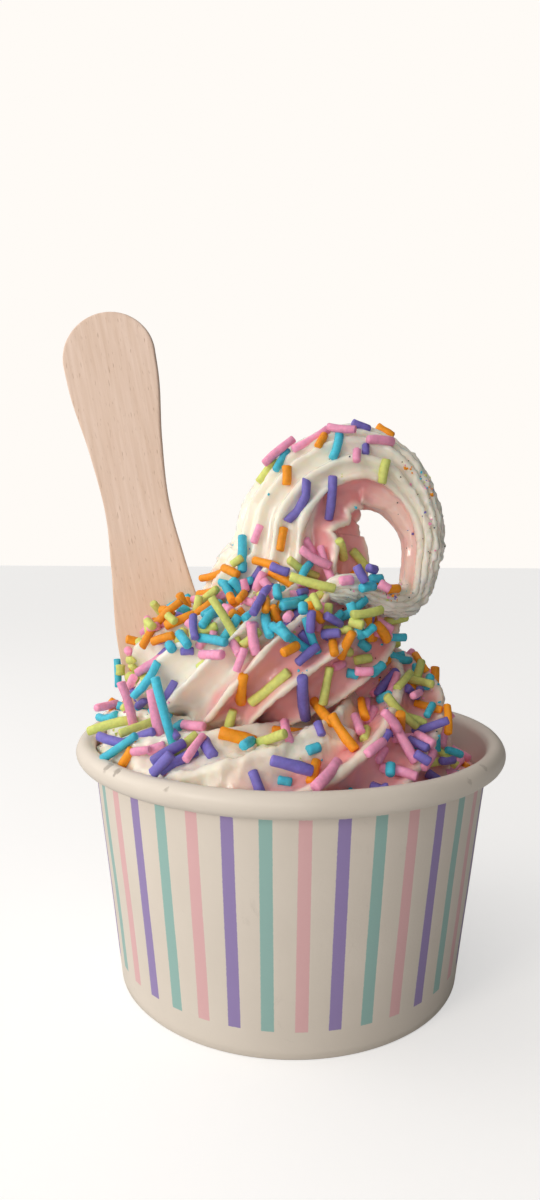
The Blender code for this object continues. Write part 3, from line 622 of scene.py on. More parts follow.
# Where the ridges stand round the rope, in degrees from the outside of the loop
# to its front: on the rising limb, at the top and on the falling limb, each at its
# share of the route. After it, the depth of the groove that follows each ridge
CURL_RIDGES = (
    (0.27, (-8, 14, 31, 47, 66, 87, 119, 165, 205, 242, 278, 312)),
    (0.45, (-4, 16, 33, 48, 76, 99, 147, 185, 220, 255, 290, 322)),
    (0.65, (-4, 16, 36, 57, 82, 105, 150, 185, 220, 255, 290, 322)),
)
CURL_GROOVES = (0.07, 0.07, 0.08, 0.12, 0.13, 0.31, 0.24, 0.12, 0.12, 0.12, 0.10, 0.08)
CURL_LIP = 6                   # the wavy ridge inside the pink hollow
CURL_PIT = (0.385, 107)        # a small deep pit: share of the route, and degrees round
PIT_SIZE = (1.9 * MM, 1.0 * MM)
PIT_DEPTH = 1.6 * MM
CURL_BEND = (0.44, 0.56)       # from the rising to the falling limb, in shares of the route
CURL_OUTSIDE = 0.3             # the angle round it where its dried outer side has its middle


def curl(name, seed):
    """One tapering rope along the looped route. Outwards lies in the plane of
    the loop, and a ring is the middle plus the half width times the cosine
    outwards and the sine to the front, each shortened by the flutes. The pit is a
    bell curve of the distance from its middle."""
    rows = np.array(CURL) * MM
    walk = np.concatenate([[0], np.cumsum(np.linalg.norm(np.diff(rows[:, :3], axis=0), axis=1))])
    count = int(walk[-1] / GRID)
    places = smooth_rows(np.column_stack([walk, rows]), np.linspace(0, walk[-1], count))
    middles, half = places[:, :3], places[:, 3:4]
    ahead = np.gradient(middles, axis=0)
    ahead /= np.linalg.norm(ahead, axis=1)[:, None]
    outward = np.cross((0.0, -1.0, 0.0), ahead)
    outward /= np.linalg.norm(outward, axis=1)[:, None]
    forward = np.cross(ahead, outward)
    columns = int(2 * np.pi * CURL_GIRTH / GRID)
    around = np.tile(np.linspace(0, 2 * np.pi, columns, endpoint=False), (count, 1))
    share = np.linspace(0, 1, count)[:, None]
    stations, angles = zip(*CURL_RIDGES)
    ridges = [np.interp(share[:, 0], stations, angle) for angle in zip(*angles)]
    ridges = np.radians(np.stack(ridges, -1))
    ridges += CURL_WANDER * ripple(middles, 12 * MM, seed + 9)[:, None]
    ridges[:, CURL_LIP] += LIP_WANDER * ripple(middles, 7 * MM, seed + 10)
    crest = CURL_CREST / np.maximum(half, 4 * MM)
    size, ridge = fluted(around, ridges, CURL_GROOVES, crest)
    falling = soft_step(*CURL_BEND, share)
    facing_out = np.cos(around - CURL_OUTSIDE)
    smooth = 0.8 * falling * soft_step(0.1, 0.5, -facing_out)
    size = 1 - (1 - size) * (1 - smooth)
    ridge = ridge * (1 - smooth)
    taper = rounded((1 - share) * walk[-1] / CURL_END)
    rings = (
        middles[:, None, :]
        + (half * taper * size * np.cos(around))[..., None] * outward[:, None, :]
        + (half * taper * CURL_DEPTH * size * np.sin(around))[..., None] * forward[:, None, :]
    )
    tail = soft_step(0.76, 0.84, share)
    mottle = 0.05 * ripple(rings, 8 * MM, seed + 5)
    berry = soft_step(0.10, 0.30, mottle - np.cos(around)) * (1 - 0.9 * tail)
    berry *= 0.88 - 0.48 * falling
    dry = soft_step(0.45, 0.60, share) * soft_step(-0.05, 0.7, facing_out)
    off_pit = np.hypot((share - CURL_PIT[0]) * walk[-1] / PIT_SIZE[0],
                       (around - math.radians(CURL_PIT[1])) * half / PIT_SIZE[1])
    pit = np.exp(-off_pit ** 2)
    out = outward_of(rings)
    coarse = 0.20 * MM * ripple(rings, 2.6 * MM, seed + 7)
    crust = dry * (0.13 * MM * ripple(rings, 1.1 * MM, seed + 6) + coarse)
    bead = 0.32 * MM * (1 - 0.5 * soft_step(0.5, 0.6, share))
    rings = frosted(rings, ridge, 0 * berry, bead, seed)
    rings += out * (crust - PIT_DEPTH * pit)[..., None]
    # in the pit the strawberry share is raised to full and the whiter ridges are taken out: painted
    # shade for the pit's dark depth, laid over the pink it has of its own
    return skin(name, rings + (AXIS_X, 0, 0), berry=np.clip(berry + 2 * pit, 0, 1),
                ridge=np.maximum(ridge, 0.7 * dry) * (1 - pit))


loop = curl("curl", 71)
finish_piece(loop, soft_serve_finish, "soft_serve", "soft_serve")

# --------------------------------------------------------------- Wooden spoon
# A flat spoon stamped from birch veneer, its edges tumbled round. It is bare, so
# the grain and short dark vessels show, and it has soaked up a little cream where
# it stands in the soft serve.
SPOON_LENGTH = 93.98 * MM       # 94 less what the relief of the grain adds
SPOON_THICKNESS = 1.5 * MM
SPOON_TIP = (-23.8 * MM, 9.0 * MM, 43.5 * MM)
SPOON_LEAN = math.radians(10.4)
SPOON_TURN = math.radians(-7.0)
# Half widths at shares of its length from the lower end, the rest being round ends
SPOON_PARTS = (0.10, 0.28, 0.42, 0.55, 0.70, 0.84, 0.90)
SPOON_HALF_WIDTHS = (9.9 * MM, 9.9 * MM, 8.3 * MM, 7.2 * MM, 8.2 * MM, 10.0 * MM, 10.2 * MM)
SPOON_EDGE = 0.42 * MM
SPOON_RELIEF = 0.022 * MM      # of the grain, on faces set in by SPOON_INSET
SPOON_INSET = 0.03 * MM


def spoon_rings():
    """The spoon as cross sections along its length. The half widths are joined
    by smooth cubics and closed by a half ellipse at each end. Both faces are
    flat, and fall in a quarter round over the last of the way to the outline."""
    parts = np.array(SPOON_PARTS)
    along = np.linspace(parts[0], parts[-1], 90)
    side = smooth_rows(np.column_stack([parts, SPOON_HALF_WIDTHS]), along)[:, 0]
    down = np.linspace(-np.pi / 2, 0, 26)[:-1]
    top = -down[::-1]
    places = SPOON_LENGTH * np.concatenate([
        parts[0] + parts[0] * np.sin(down), along, parts[-1] + (1 - parts[-1]) * np.sin(top),
    ])
    wide = np.concatenate([side[0] * np.cos(down), side, side[-1] * np.cos(top)])
    wide = np.maximum(wide, 0.02 * MM)
    lean = np.abs(np.gradient(wide, places))
    across = np.cos(np.linspace(0, np.pi, 44))
    from_edge = wide[:, None] * (1 - np.abs(across)) / np.sqrt(1 + lean[:, None] ** 2)
    short = np.clip(1 - from_edge / SPOON_EDGE, 0, 1)
    height = SPOON_THICKNESS / 2 - SPOON_EDGE * (1 - np.sqrt(1 - short ** 2))
    lengths = np.repeat(places[:, None], len(across), 1)
    face = np.stack([wide[:, None] * across, lengths, height], -1)
    rings = np.concatenate([face, face[:, ::-1] * (1, 1, -1)], axis=1)
    relief = SPOON_RELIEF * ripple(rings * (3.0, 0.25, 1.0), 2.2 * MM, 81)
    rings[..., 2] += (relief - SPOON_INSET) * np.sign(rings[..., 2])
    return rings


def birch():
    """Birch veneer, cut and left bare: pale tan with fine straight grain along
    the spoon, short dark vessel lines and a silky, nearly matt surface."""
    finish, tree, shader = start_material("bare_birch_veneer", IOR=1.5, Roughness=0.62)
    where = add_node(tree, "TexCoord").outputs["UV"]
    # three noises drawn out along the spoon: their sizes across and along it
    stretched = [
        add_node(tree, "Mapping", {0: where, 3: (1 / across, 1 / along, 1.0)}).outputs[0]
        for across, along in ((0.9 * MM, 16 * MM), (6 * MM, 40 * MM), (0.35 * MM, 2.6 * MM))
    ]
    grain = noise(tree, stretched[0], 1.0, 5.0, Roughness=0.6, Distortion=0.4)
    bands = noise(tree, stretched[1], 1.0, 2.0)
    vessels = noise(tree, stretched[2], 1.0, 1.0)
    toned = maths(tree, "MULTIPLY_ADD", bands, 0.3, maths(tree, "MULTIPLY", grain, 0.7))
    wood = ramp(tree, toned, ((0.32, "E0C5B1"), (0.66, "F1DACB")))
    lined = blend(tree, ranged(tree, vessels, 0.66, 0.76, 0.0, 0.55), wood, linear("A98363"))
    # cream soaked up from below warms the wood over its lower part
    along = add_node(tree, "SeparateXYZ", {0: where}).outputs[1]
    soaked = ranged(tree, along, 48 * MM, 14 * MM, 0.0, 0.55)
    feed(tree, shader, Base_Color=blend(tree, soaked, lined, linear("E6B890")),
         Normal=bump(tree, grain, 0.35, 0.08 * MM))
    return finish


flat_rings = spoon_rings()
stand = (
    Matrix.Rotation(-SPOON_LEAN, 3, "Y") @ Matrix.Rotation(SPOON_TURN, 3, "Z")
    @ Matrix.Rotation(math.pi / 2, 3, "X")
)
standing = flat_rings @ np.array(stand).T + SPOON_TIP + (AXIS_X, 0, 0)
spoon = skin("birch_spoon", standing)
# the UV map is the spoon's own flat face in metres, so that the grain runs along it
corners = np.zeros(len(spoon.data.loops), np.int32)
spoon.data.loops.foreach_get("vertex_index", corners)
flat_places = np.concatenate([flat_rings.reshape(-1, 3), flat_rings[[0, -1]].mean(axis=1)])
flat_uv = flat_places[corners][:, :2].astype(np.float32).ravel()
spoon.data.uv_layers[0].data.foreach_set("uv", flat_uv)
finish_piece(spoon, birch(), "birch_wood", "wooden_spoon")

# ------------------------------------------------------------- Sugar sprinkles
# Strands of coloured sugar paste, dried and broken to length, thrown on by hand
# while the soft serve was still sticky. They pile up where the coils make a ledge.
SPRINKLE_RADIUS = 0.88 * MM
EYE = Vector((AXIS_X - 4.256 * MM, -157.54 * MM, 86.59 * MM))   # where it is seen from
# Each row is a sprinkle that stands out: across and up in millimetres on the
# upright plane through the tub's axis, seen from the front, then its heading in
# degrees from level, its length, and its girth as a share where it is a thick one
SPRINKLES = {
    "orange": ("FBA01A", (
        (6, 108, 60, 4), (-1, 101, 90, 4), (-2, 88, 80, 5), (-5, 83, 165, 6), (-2, 80, 150, 6),
        (-17, 77, 15, 6), (-27, 70, 50, 12), (16, 68, 155, 4), (-34, 42, 60, 5),
        (-22, 38, 5, 8, 1.15), (-11, 46, 165, 8, 1.35), (-10, 57, 85, 9, 1.2), (7, 52, 130, 8),
        (11, 47, 125, 9), (5, 39, 75, 6),
        (29, 53, 165, 6), (25, 58, 105, 5), (19, 110, 120, 4), (27, 64, 125, 6), (-21, 74, 100, 4),
        (-3, 73, 60, 5), (-12, 74, 20, 5), (9, 65, 100, 4), (17, 79, 5, 5), (21, 77.8, 5, 3.5),
        (13.2, 81, 40, 2.5, 1.1),
    )),
    "lime": ("D6E07C", (
        (-5, 102, 55, 6), (19, 102, 80, 5), (5, 79, 165, 9), (10, 86, 105, 6), (10, 69, 0, 6),
        (-13, 70, 120, 12), (-18, 69, 20, 6), (-19, 73, 75, 7), (22, 71, 15, 5), (-32, 61, 90, 4),
        (-37, 49, 15, 10), (-31, 47, 80, 9), (-23, 44, 35, 9), (-4, 57, 40, 11, 1.1), (7, 58, 80, 8),
        (23, 51, 135, 10), (16, 47, 80, 5), (27, 60, 75, 5), (-9, 68, 40, 5), (-5, 76, 170, 6),
        (14, 84, 130, 5), (33, 42, 140, 5), (15, 63, 10, 4), (-33, 57, 30, 4), (26, 50, 160, 5),
        (-32, 61, 30, 2.4, 1.3), (-34, 59, 80, 2.2, 1.3), (-30, 59, 120, 2.4, 1.2),
        (-33, 63, 10, 2, 1.1),
    )),
    "blue": ("48C6E2", (
        (9, 107, 75, 6), (-2, 104, 60, 6), (-10, 85, 90, 8), (-11, 80, 5, 8), (0, 75, 10, 7),
        (4, 68, 110, 8), (1, 67, 140, 10), (12, 73, 35, 9), (13, 69, 110, 8), (-7, 71, 100, 8),
        (-3, 68, 145, 6), (-16, 67, 170, 8), (-22, 67, 125, 6), (-26, 51, 105, 14), (-30, 59, 55, 9),
        (-35, 58, 55, 6), (-38, 51, 10, 8), (-35, 44, 35, 10), (27, 45, 15, 4), (35, 50, 125, 8),
        (15, 78, 10, 4), (20, 55, 30, 4), (29, 58, 70, 4), (36, 45, 115, 7), (-12, 78, 120, 5),
        (5, 44, 20, 3), (13, 60, 170, 2.5), (-1, 37, 170, 3), (18, 61, 40, 4), (16.5, 79.3, 0, 3),
    )),
    "purple": ("7B72C8", (
        (1, 96, 65, 9.5, 1.1), (8, 96, 85, 9, 1.1), (14, 111, 160, 4), (-8, 79, 55, 8),
        (1, 72, 45, 7), (-37, 45, 165, 8, 1.1), (-17, 44, 120, 6, 1.15), (-23, 41, 30, 9, 1.15),
        (-25, 42, 32, 8), (3, 55, 95, 12, 1.15),
        (4, 63, 40, 6), (0, 41, 165, 9, 1.15), (30, 48, 20, 8), (27, 44, 155, 5), (7, 71, 150, 5),
        (-6, 76, 40, 5), (9, 67, 5, 4), (-2, 82, 160, 4), (13, 80, 120, 4), (-31, 54, 80, 4),
        (-7, 37, 110, 5), (20, 47, 10, 3), (26, 55, 60, 4), (15, 106, 90, 2.5), (-25, 39, 35, 6),
        (15, 80, 30, 2.5),
    )),
    "pink": ("F8A6CC", (
        (4, 108, 30, 9), (-2, 105, 40, 8), (10, 110, 175, 6), (18, 108, 175, 6), (-7, 89, 70, 4),
        (-3, 78, 125, 5), (3, 77, 10, 9), (8, 83, 110, 8), (5, 84, 150, 7), (-16, 64, 0, 7),
        (-16, 78, 10, 8), (-26, 70, 40, 6), (-34, 53, 105, 9), (-28, 51, 100, 10), (0, 47, 105, 8),
        (14, 48, 110, 6), (8, 38, 50, 10, 1.15), (23, 45, 120, 10), (29, 42, 60, 6), (23, 39, 165, 8),
        (19, 43, 60, 4), (22, 58, 70, 5), (19, 57, 40, 6), (17, 51, 65, 6),
        (4, 86, 120, 5), (13, 105, 90, 3), (-9, 75, 160, 5), (6, 72, 80, 6), (-13, 66, 120, 5),
        (10, 62, 20, 3), (31, 46, 80, 5), (-28, 44, 20, 4), (33, 55, 100, 6),
        (-12, 64, 70, 5), (20, 48, 130, 6), (28, 45, 150, 5), (11.4, 79.5, 10, 3, 1.1),
        (17.8, 77.6, 150, 2.5),
    )),
}
# Ledges where they crowd: from one point to another as seen from the front, how
# far they stray from the line between, in millimetres, and how many are tried
CROWDS = (
    ((-25, 68), (-9, 77), 2.6, 110), ((-9, 76), (5, 73), 3.2, 160), ((3, 71), (17, 70), 2.4, 85),
    ((-37, 46), (-22, 43), 3.0, 12), ((18, 58), (30, 45), 4.4, 40), ((32, 46), (37, 43), 2.0, 8),
)
# Shares of the colours among those that aren't placed one by one
MIX = {"orange": 0.19, "lime": 0.18, "blue": 0.20, "purple": 0.14, "pink": 0.29}
# The curl's tail stays clear: its ends and its underside in millimetres as seen
# from the front, and the underside for those that are strewn
TAIL_LEFT, TAIL_RIGHT, TAIL_UNDER, TAIL_UNDER_STREWN = 7.0, 26, 72.5, 70
PLACED_CLING = 3.5 * MM        # how far beyond the outline a placed one may be read
# All in radii: how high crowded and strewn ones pile up, how high one starts and
# by how much it rises, and how clear it ends up of the surface and of the others,
# which is felt at some places along it, as shares of half its length
CROWD_LIFT, STREW_LIFT = 3.2, 2.2
FIRST_LIFT, LIFT_STEP, LIFT_TRIES = 0.3, 0.2, 24
CLEAR_OF_SURFACE, CLEAR_OF_OTHERS = 0.05, 1.6
FEELERS = np.array([-0.9, -0.45, 0.0, 0.45, 0.9])
END_SHARE = 0.4                # of the length: how far out its two ends are felt for
EDGE_CLEAR = 0.6 * MM          # how clear of the rim and the wall they lie
LONG_ONE = 8 * MM              # long enough to bridge a crease, and how deep one is
CREASE = 2 * MM
SPAN_LIMIT = 1.1               # of the length: ends further apart lie on two forms
STEEP = 0.4                    # cosine to the sight line under which a surface turns away
STREWS = 2600                  # throws at the sides and the back
STREW_SEED = 91
STREW_FROM = 150 * MM          # how far off they start
STREW_TILT = math.radians(68)  # how far from straight down they are thrown
STREW_UNDERSIDE = -0.3         # the surface's upward share under which none sticks
STREW_UNSEEN = 0.5 * MM        # how far behind what the front view shows they must lie
STREW_REACH = 40 * MM
STREW_AIMS = (45 * MM, 75 * MM)
STREW_LENGTHS = (3.0 * MM, 8.5 * MM)
# The share of the strewn ones that stay, at heights in millimetres
STREW_HEIGHTS = (40, 60, 64, 74, 78)
STREW_SHARES = (0.5, 0.45, 1, 1, 0)
SPRINKLE_SIDES = 8
BOW = 0.04                     # how far they bow, as a share of the length
TIP = 0.02 * MM                # how far the middle of an end stands out
# Rings along a sprinkle: place from its middle as a share of half its length,
# inset from the end in radii, and radius as a share
SPRINKLE_RINGS = ((-1, 0.0, 0.78), (-1, 0.20, 0.98), (-0.35, 0.0, 1.0),
                  (0.35, 0.0, 0.97), (1, 0.20, 0.99), (1, 0.0, 0.76))


def tree_of(pieces):
    """One search tree of all the faces of some pieces."""
    places, faces, base = [], [], 0
    for piece in pieces:
        mesh = piece.data
        co = np.zeros(len(mesh.vertices) * 3)
        mesh.vertices.foreach_get("co", co)
        mesh.calc_loop_triangles()
        corners = np.zeros(len(mesh.loop_triangles) * 3, np.int32)
        mesh.loop_triangles.foreach_get("vertices", corners)
        places.append(co.reshape(-1, 3))
        faces.append(corners.reshape(-1, 3) + base)
        base += len(mesh.vertices)
    return BVHTree.FromPolygons(np.concatenate(places).tolist(), np.concatenate(faces).tolist())


def lie_down(name, found, radius, highest=None):
    """Settle a sprinkle on the surface and on those that lie there already: it
    rises along the surface's direction until it is clear of both. Then it joins
    the pile of its colour. Where a highest lift is given, that is only if it lies
    under it and all of it is over the cream."""
    hit, normal, heading, length = found
    lift = FIRST_LIFT * radius
    for _ in range(LIFT_TRIES):
        middle = hit + normal * lift
        points = np.array(middle) + FEELERS[:, None] * (length / 2) * np.array(heading)
        sunk = 1.0
        for point in points:
            near, near_normal, _, _ = ground.find_nearest(Vector(point))
            sunk = min(sunk, (Vector(point) - near).dot(near_normal))
        crowded = 1.0
        if lain:
            gaps = np.linalg.norm(np.concatenate(lain)[:, None, :] - points[None], axis=-1)
            crowded = gaps.min()
        if sunk > CLEAR_OF_SURFACE * radius and crowded > CLEAR_OF_OTHERS * radius:
            break
        lift += LIFT_STEP * radius
    if highest is None or (lift < highest * radius and on_cream(*points)):
        lain.append(points)
        piles[name].append((middle, heading, normal, length, radius))


def strew(target, away, spin, length):
    """Where a thrown sprinkle lands, and how it lies, or None if it misses or
    strikes an underside."""
    hit, normal, _, _ = ground.ray_cast(target + away * STREW_FROM, -away)
    if hit is None or normal.z < STREW_UNDERSIDE:
        return None
    side = normal.orthogonal().normalized()
    heading = side * math.cos(spin) + normal.cross(side) * math.sin(spin)
    return hit, normal, heading, length


def on_cream(*places):
    """Whether all these places lie above the rim, or well inside the tub's wall."""
    return all(
        up > TUB_HEIGHT + EDGE_CLEAR
        or math.hypot(across - AXIS_X, back) < inside_radius(up) - EDGE_CLEAR
        for across, back, up in places
    )


def shown_sprinkle(across, up, heading_degrees, length, cling=0):
    """Where a sprinkle seen from the front lies: between the two places where its
    ends are seen. A long one that bridges a crease stands on its nearer end, and a
    short one lies in the surface's own plane. One seen beyond the cream's outline
    clings to it if it is as near as cling. Those on the tub's outside are left out."""
    turn = math.radians(heading_degrees)
    flat = Vector((math.cos(turn), 0.0, math.sin(turn)))
    middle = Vector((AXIS_X + across * MM, 0.0, up * MM))
    aim = (middle - EYE).normalized()
    hit, normal, _, _ = ground.ray_cast(EYE, aim)
    if hit is None:
        hit, normal, _, gap = ground.find_nearest(middle)
        if gap > cling:
            return None
    if not on_cream(hit):
        return None
    distance = (hit - EYE).length
    length *= MM * distance / (middle - EYE).length
    ends = []
    for side in (-1, 1):
        end = middle + flat * side * END_SHARE * length
        seen, facing_out, _, reach = ground.ray_cast(EYE, (end - EYE).normalized())
        if seen and on_cream(seen):
            ends.append((reach, side, seen, facing_out))
    if len(ends) == 2:
        span = ends[1][2] - ends[0][2]
        if span.length < SPAN_LIMIT * length:
            between = (ends[0][2] + ends[1][2]) / 2
            facing_out = ends[0][3] + normal + ends[1][3] - aim
            return between, facing_out.normalized(), span.normalized(), length
    if ends and length > LONG_ONE and distance - min(ends)[0] > CREASE:
        _, side, seen, _ = min(ends)
        return seen - flat * side * END_SHARE * length, -aim, flat, length
    facing = -aim.dot(normal)
    if facing > STEEP:
        heading = flat + aim * (flat.dot(normal) / facing)
    else:
        heading = flat - normal * flat.dot(normal)
    return hit, normal, heading.normalized(), length


def many(name, points, faces, tones):
    """One mesh of many small things, each with a tone of its own."""
    mesh = bpy.data.meshes.new(name)
    mesh.from_pydata(points, [], faces)
    tone = mesh.attributes.new("tone", "FLOAT", "POINT")
    tone.data.foreach_set("value", tones.astype(np.float32))
    mesh.update()
    return show(name, mesh)


def rods(name, lying, draw):
    """Many sprinkles as one mesh. Each is a bent tube: at every ring the middle
    line moves along the heading and bows aside by a parabola, and the ring's
    points stand round it on two directions square to the heading."""
    middles, headings, normals, lengths, radii = (np.array(column) for column in zip(*lying))
    sides = np.cross(headings, normals)
    sides /= np.linalg.norm(sides, axis=1)[:, None]
    ups = np.cross(sides, headings)
    count, ring_count = len(middles), len(SPRINKLE_RINGS)
    share, inset, size = (np.array(column) for column in zip(*SPRINKLE_RINGS))
    along = share[None] * lengths[:, None] / 2 - np.sign(share)[None] * inset[None] * radii[:, None]
    bow = draw.normal(0, BOW, count) * lengths * np.clip(lengths / (7 * MM), 0.3, 1.3)
    bend = bow[:, None] * (1 - (2 * along / lengths[:, None]) ** 2)
    wide = radii[:, None] * size[None] * draw.uniform(0.93, 1.06, (count, ring_count))
    angle = np.arange(SPRINKLE_SIDES) * 2 * np.pi / SPRINKLE_SIDES
    spokes = (sides[:, None, :] * np.cos(angle)[None, :, None]
              + ups[:, None, :] * np.sin(angle)[None, :, None])
    rings = (
        middles[:, None, None, :]
        + along[:, :, None, None] * headings[:, None, None, :]
        + bend[:, :, None, None] * sides[:, None, None, :]
        + wide[:, :, None, None] * spokes[:, None, :, :]
    )
    beyond = (lengths / 2 + TIP)[:, None, None] * np.array([[-1], [1]])
    tips = middles[:, None, :] + beyond * headings[:, None, :]
    whole = np.concatenate([rings.reshape(count, -1, 3), tips], axis=1)
    quads, fans = ring_faces(ring_count, SPRINKLE_SIDES)
    in_each = whole.shape[1]
    base = (np.arange(count) * in_each)[:, None, None]
    faces = (quads[None] + base).reshape(-1, 4).tolist()
    faces += (fans[None] + base).reshape(-1, 3).tolist()
    piece = many(name, whole.reshape(-1, 3), faces, np.repeat(draw.uniform(0, 1, count), in_each))
    piece.data.shade_smooth()
    return piece


def sugar_paste(name, colour):
    """Dried sugar paste, coloured through: matt and faintly translucent, with a
    dusty skin, small pores and a tone of its own in each strand."""
    finish, tree, shader = start_material("sugar_paste_" + name, Roughness=0.58, IOR=1.5,
                                          Subsurface_Weight=0.12, Subsurface_Scale=0.6 * MM)
    where = add_node(tree, "TexCoord").outputs["Object"]
    tone = add_node(tree, "Attribute", attribute_name="tone").outputs["Fac"]
    dusted = ranged(tree, noise(tree, where, 0.8 * MM, 4.0), 0.35, 0.7, 0.90, 1.08)
    value = maths(tree, "MULTIPLY", ranged(tree, tone, 0.0, 1.0, 0.92, 1.12), dusted)
    toned = add_node(tree, "HueSaturation", {"Value": value, "Color": linear(colour)})
    feed(tree, shader, Base_Color=toned.outputs[0],
         Normal=bump(tree, noise(tree, where, 0.35 * MM, 3.0), 0.5, 0.12 * MM))
    return finish


ground = tree_of((fill, first, lower, middle, loop, tub))
lain = []                      # points along the sprinkles that lie already
draw = np.random.default_rng(STREW_SEED)
piles = {name: [] for name in SPRINKLES}
for name, (_, placed) in SPRINKLES.items():
    for row in placed:
        found = shown_sprinkle(*row[:4], PLACED_CLING)
        if found:
            girth = row[4] if len(row) > 4 else 1
            lie_down(name, found, SPRINKLE_RADIUS * draw.uniform(0.90, 1.08) * girth)
names, shares_of_mix = list(MIX), list(MIX.values())
for start, end, stray, count in CROWDS:
    for _ in range(count):
        between = np.array(start) + draw.uniform(0, 1) * np.subtract(end, start)
        across, up = between + draw.normal(0, stray, 2)
        turn, length = draw.uniform(0, 180), 2.4 + 5.5 * draw.uniform(0, 1) ** 1.3
        found = shown_sprinkle(across, up, turn, length)
        name = draw.choice(names, p=shares_of_mix)
        radius = SPRINKLE_RADIUS * draw.uniform(0.86, 1.08)
        if found and not (TAIL_LEFT < across < TAIL_RIGHT and up > TAIL_UNDER):
            lie_down(name, found, radius, CROWD_LIFT)
for _ in range(STREWS):
    turn, tilt = draw.uniform(0, 2 * np.pi), STREW_TILT * draw.uniform(0, 1)
    reach, bearing = STREW_REACH * math.sqrt(draw.uniform(0, 1)), draw.uniform(0, 2 * np.pi)
    target = Vector((AXIS_X + reach * math.cos(bearing), reach * math.sin(bearing),
                     draw.uniform(*STREW_AIMS)))
    slant = math.sin(tilt)
    away = Vector((slant * math.cos(turn), slant * math.sin(turn), math.cos(tilt)))
    found = strew(target, away, draw.uniform(0, 2 * np.pi), draw.uniform(*STREW_LENGTHS))
    name = draw.choice(names, p=shares_of_mix)
    chance = draw.uniform(0, 1)
    if not found:
        continue
    hit = found[0]
    in_view = ground.ray_cast(EYE, (hit - EYE).normalized())[3]
    if in_view and in_view > (hit - EYE).length - STREW_UNSEEN:
        continue
    staying = np.interp(hit.z / MM, STREW_HEIGHTS, STREW_SHARES)
    on_tail = hit.x > AXIS_X + TAIL_LEFT * MM and hit.z > TAIL_UNDER_STREWN * MM
    if chance <= staying and not on_tail and on_cream(hit):
        lie_down(name, found, SPRINKLE_RADIUS, STREW_LIFT)
for name, (colour, _) in SPRINKLES.items():
    pile = rods("sprinkles_" + name, piles[name], draw)
    finish_piece(pile, sugar_paste(name, colour), "soft_serve", "soft_serve")

# ---------------------------------------------------------- Specks and sugar dust
# Broken ends and dust from the sprinkle jar, and dark specks of the same, stuck to
# the dried outer side of the curl and to the sticky right flank.
DUST_SEED = 101
# Where it lies as seen from the front: across, up, half width and half height in
# millimetres, how many dark specks, and how many crumbs of colour
DUST_ZONES = (
    (30, 90, 3, 16, 16, 22), (27, 102, 4, 5, 5, 34), (16, 100, 12, 6, 6, 4), (22, 86, 4, 10, 8, 6),
    (22, 77, 4, 2, 4, 26), (19, 64, 5, 7, 8, 14), (28, 53, 8, 9, 9, 34), (-1, 73, 22, 7, 10, 60),
    (3, 42, 5, 3, 1, 9), (-27, 48, 11, 8, 4, 22), (2, 58, 20, 12, 2, 3), (-8, 92, 6, 10, 4, 3),
)
DARK_COLOUR = "2B2230"
DARK_RADII = (0.10, 0.24)      # in millimetres
CRUMB_RADII = (0.14, 0.46)
CRUMB_SPREAD = 0.7             # how far apart crumbs of one broken sprinkle lie
CRUMB_LOOSE = 0.55             # share of them that lie alone
CRUMB_LIFT = 0.1 * MM


def crumbs(name, spots, draw):
    """Many crumbs as one mesh: each an octahedron whose corners are pushed in
    and out at random, half sunk in what it lies on."""
    corners = np.array([(1, 0, 0), (0, 1, 0), (-1, 0, 0), (0, -1, 0), (0, 0, 1), (0, 0, -1)], float)
    faces = np.array([(0, 1, 4), (1, 2, 4), (2, 3, 4), (3, 0, 4),
                      (1, 0, 5), (2, 1, 5), (3, 2, 5), (0, 3, 5)])
    centres, radii = (np.array(column) for column in zip(*spots))
    stretch_by = draw.uniform(0.6, 1.4, (len(spots), len(corners), 1))
    turns = np.linalg.qr(draw.normal(size=(len(spots), 3, 3)))[0]
    turns *= np.sign(np.linalg.det(turns))[:, None, None]
    shapes = np.einsum("nij,nkj->nki", turns, corners[None] * stretch_by) * radii[:, None, None]
    places = (centres[:, None, :] + shapes).reshape(-1, 3)
    base = (np.arange(len(spots)) * len(corners))[:, None, None]
    all_faces = (faces[None] + base).reshape(-1, 3).tolist()
    return many(name, places, all_faces, np.repeat(draw.uniform(0, 1, len(spots)), len(corners)))


draw = np.random.default_rng(DUST_SEED)
spots = {"dark": [], **{name: [] for name in MIX}}
for across, up, wide, high, darks, crumbs_here in DUST_ZONES:
    name, centre = "dark", (across, up)
    for number in range(darks + crumbs_here):
        bearing, reach = draw.uniform(0, 2 * np.pi), math.sqrt(draw.uniform(0, 1))
        fresh = np.array([across + wide * reach * math.cos(bearing),
                          up + high * reach * math.sin(bearing)])
        radii = DARK_RADII
        if number >= darks:
            # a crumb often lies by the one before, where a sprinkle broke up
            radii = CRUMB_RADII
            if name != "dark" and draw.uniform() > CRUMB_LOOSE:
                fresh = centre + draw.normal(0, CRUMB_SPREAD, 2)
            else:
                name = draw.choice(names, p=shares_of_mix)
        centre = fresh
        seen = shown_sprinkle(*fresh, 0, 1)
        radius = np.interp(draw.uniform() ** 1.7, (0, 1), radii) * MM
        if seen:
            spots[name].append((seen[0] + seen[1] * CRUMB_LIFT, radius))
for name, found in spots.items():
    dust = crumbs("sugar_dust_" + name, found, draw)
    colour = SPRINKLES[name][0] if name in SPRINKLES else DARK_COLOUR
    finish_piece(dust, sugar_paste("dust_" + name, colour), "soft_serve", "soft_serve")

# ------------------------------------------------------------------- Studio
# A pale floor under a soft bright surround: the light comes mostly from the left
# and a little from above, and the right side falls into gentle shade.
FLOOR_HALF = 3.0
FLOOR_GLOW = 0.5               # seen by the camera alone: it lights nothing
SKY_WAY = (-0.88, 0.05, 0.47)  # from where most of the light comes
LAMPS_AIM = Vector((0, 0, 0.07))
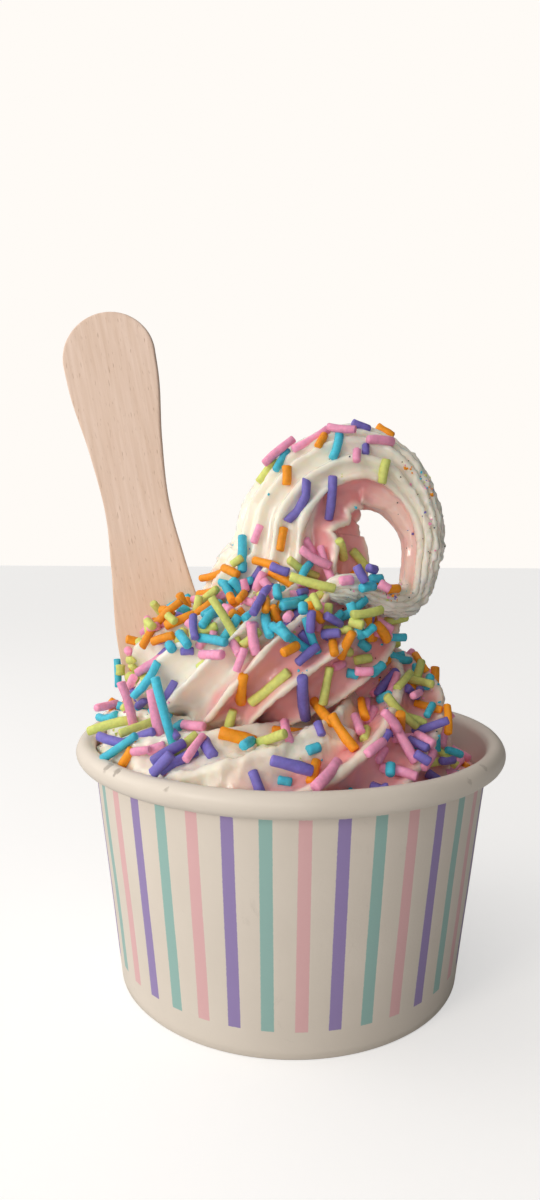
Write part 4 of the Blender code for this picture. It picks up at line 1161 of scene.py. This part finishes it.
# Name, place and size in metres, power in watts and colour
LAMPS = (
    ("key_softbox", (-0.32, -0.34, 0.23), 0.13, 0.70, "FFF6EC"),
    ("front_softbox", (-0.05, -0.45, 0.12), 0.10, 0.21, "FFF8F2"),
    ("side_softbox", (-0.50, 0.02, 0.25), 0.28, 0.46, "FFF8F0"),
)
CAMERA_PITCH = math.radians(4.05)
CAMERA_ROLL = 0.00526
CAMERA_LENS = 22.86            # focal length in millimetres

floor_mesh = bpy.data.meshes.new("floor")
corners = [(x * FLOOR_HALF, y * FLOOR_HALF, 0) for x, y in ((-1, -1), (1, -1), (1, 1), (-1, 1))]
floor_mesh.from_pydata(corners, [], [(0, 1, 2, 3)])
floor = show("floor", floor_mesh)
paint, paint_tree, paint_shader = start_material("matt_white_studio_floor", Roughness=0.9,
                                                 Emission_Color=(1, 1, 1, 1))
mottled = add_node(paint_tree, "TexNoise", {"Scale": 3.0}).outputs[0]
in_view = add_node(paint_tree, "LightPath").outputs["Is Camera Ray"]
feed(paint_tree, paint_shader, Base_Color=ranged(paint_tree, mottled, 0.0, 1.0, 0.60, 0.64),
     Emission_Strength=maths(paint_tree, "MULTIPLY", in_view, FLOOR_GLOW))
floor_mesh.materials.append(paint)

world = bpy.data.worlds.new("surround")
bpy.context.scene.world = world
world.use_nodes = True
sky = world.node_tree
background = sky.nodes["Background"]
direction = add_node(sky, "TexCoord").outputs["Generated"]
towards = add_node(sky, "VectorMath", {0: direction, 1: SKY_WAY}, operation="DOT_PRODUCT")
level = ranged(sky, towards.outputs["Value"], -0.45, 1.0, 0.01, 1.0)
in_view = add_node(sky, "LightPath").outputs["Is Camera Ray"]
background.inputs["Color"].default_value = linear("FFFBF6")
feed(sky, background, Strength=maths(sky, "MAXIMUM", level, in_view))

for name, place, size, power, colour in LAMPS:
    lamp = bpy.data.lights.new(name, "AREA")
    lamp.size = size
    lamp.energy = power
    lamp.color = linear(colour)[:3]
    holder = show(name, lamp)
    holder.location = place
    holder.rotation_euler = (LAMPS_AIM - Vector(place)).to_track_quat("-Z", "Y").to_euler()

lens = bpy.data.cameras.new("camera")
lens.lens = CAMERA_LENS
lens.clip_start = 0.005
camera = show("camera", lens)
camera.location = EYE
camera.rotation_euler = (
    Matrix.Rotation(math.pi / 2 - CAMERA_PITCH, 4, "X") @ Matrix.Rotation(CAMERA_ROLL, 4, "Z")
).to_euler()
bpy.context.scene.camera = camera
bpy.context.scene.view_settings.view_transform = "Standard"
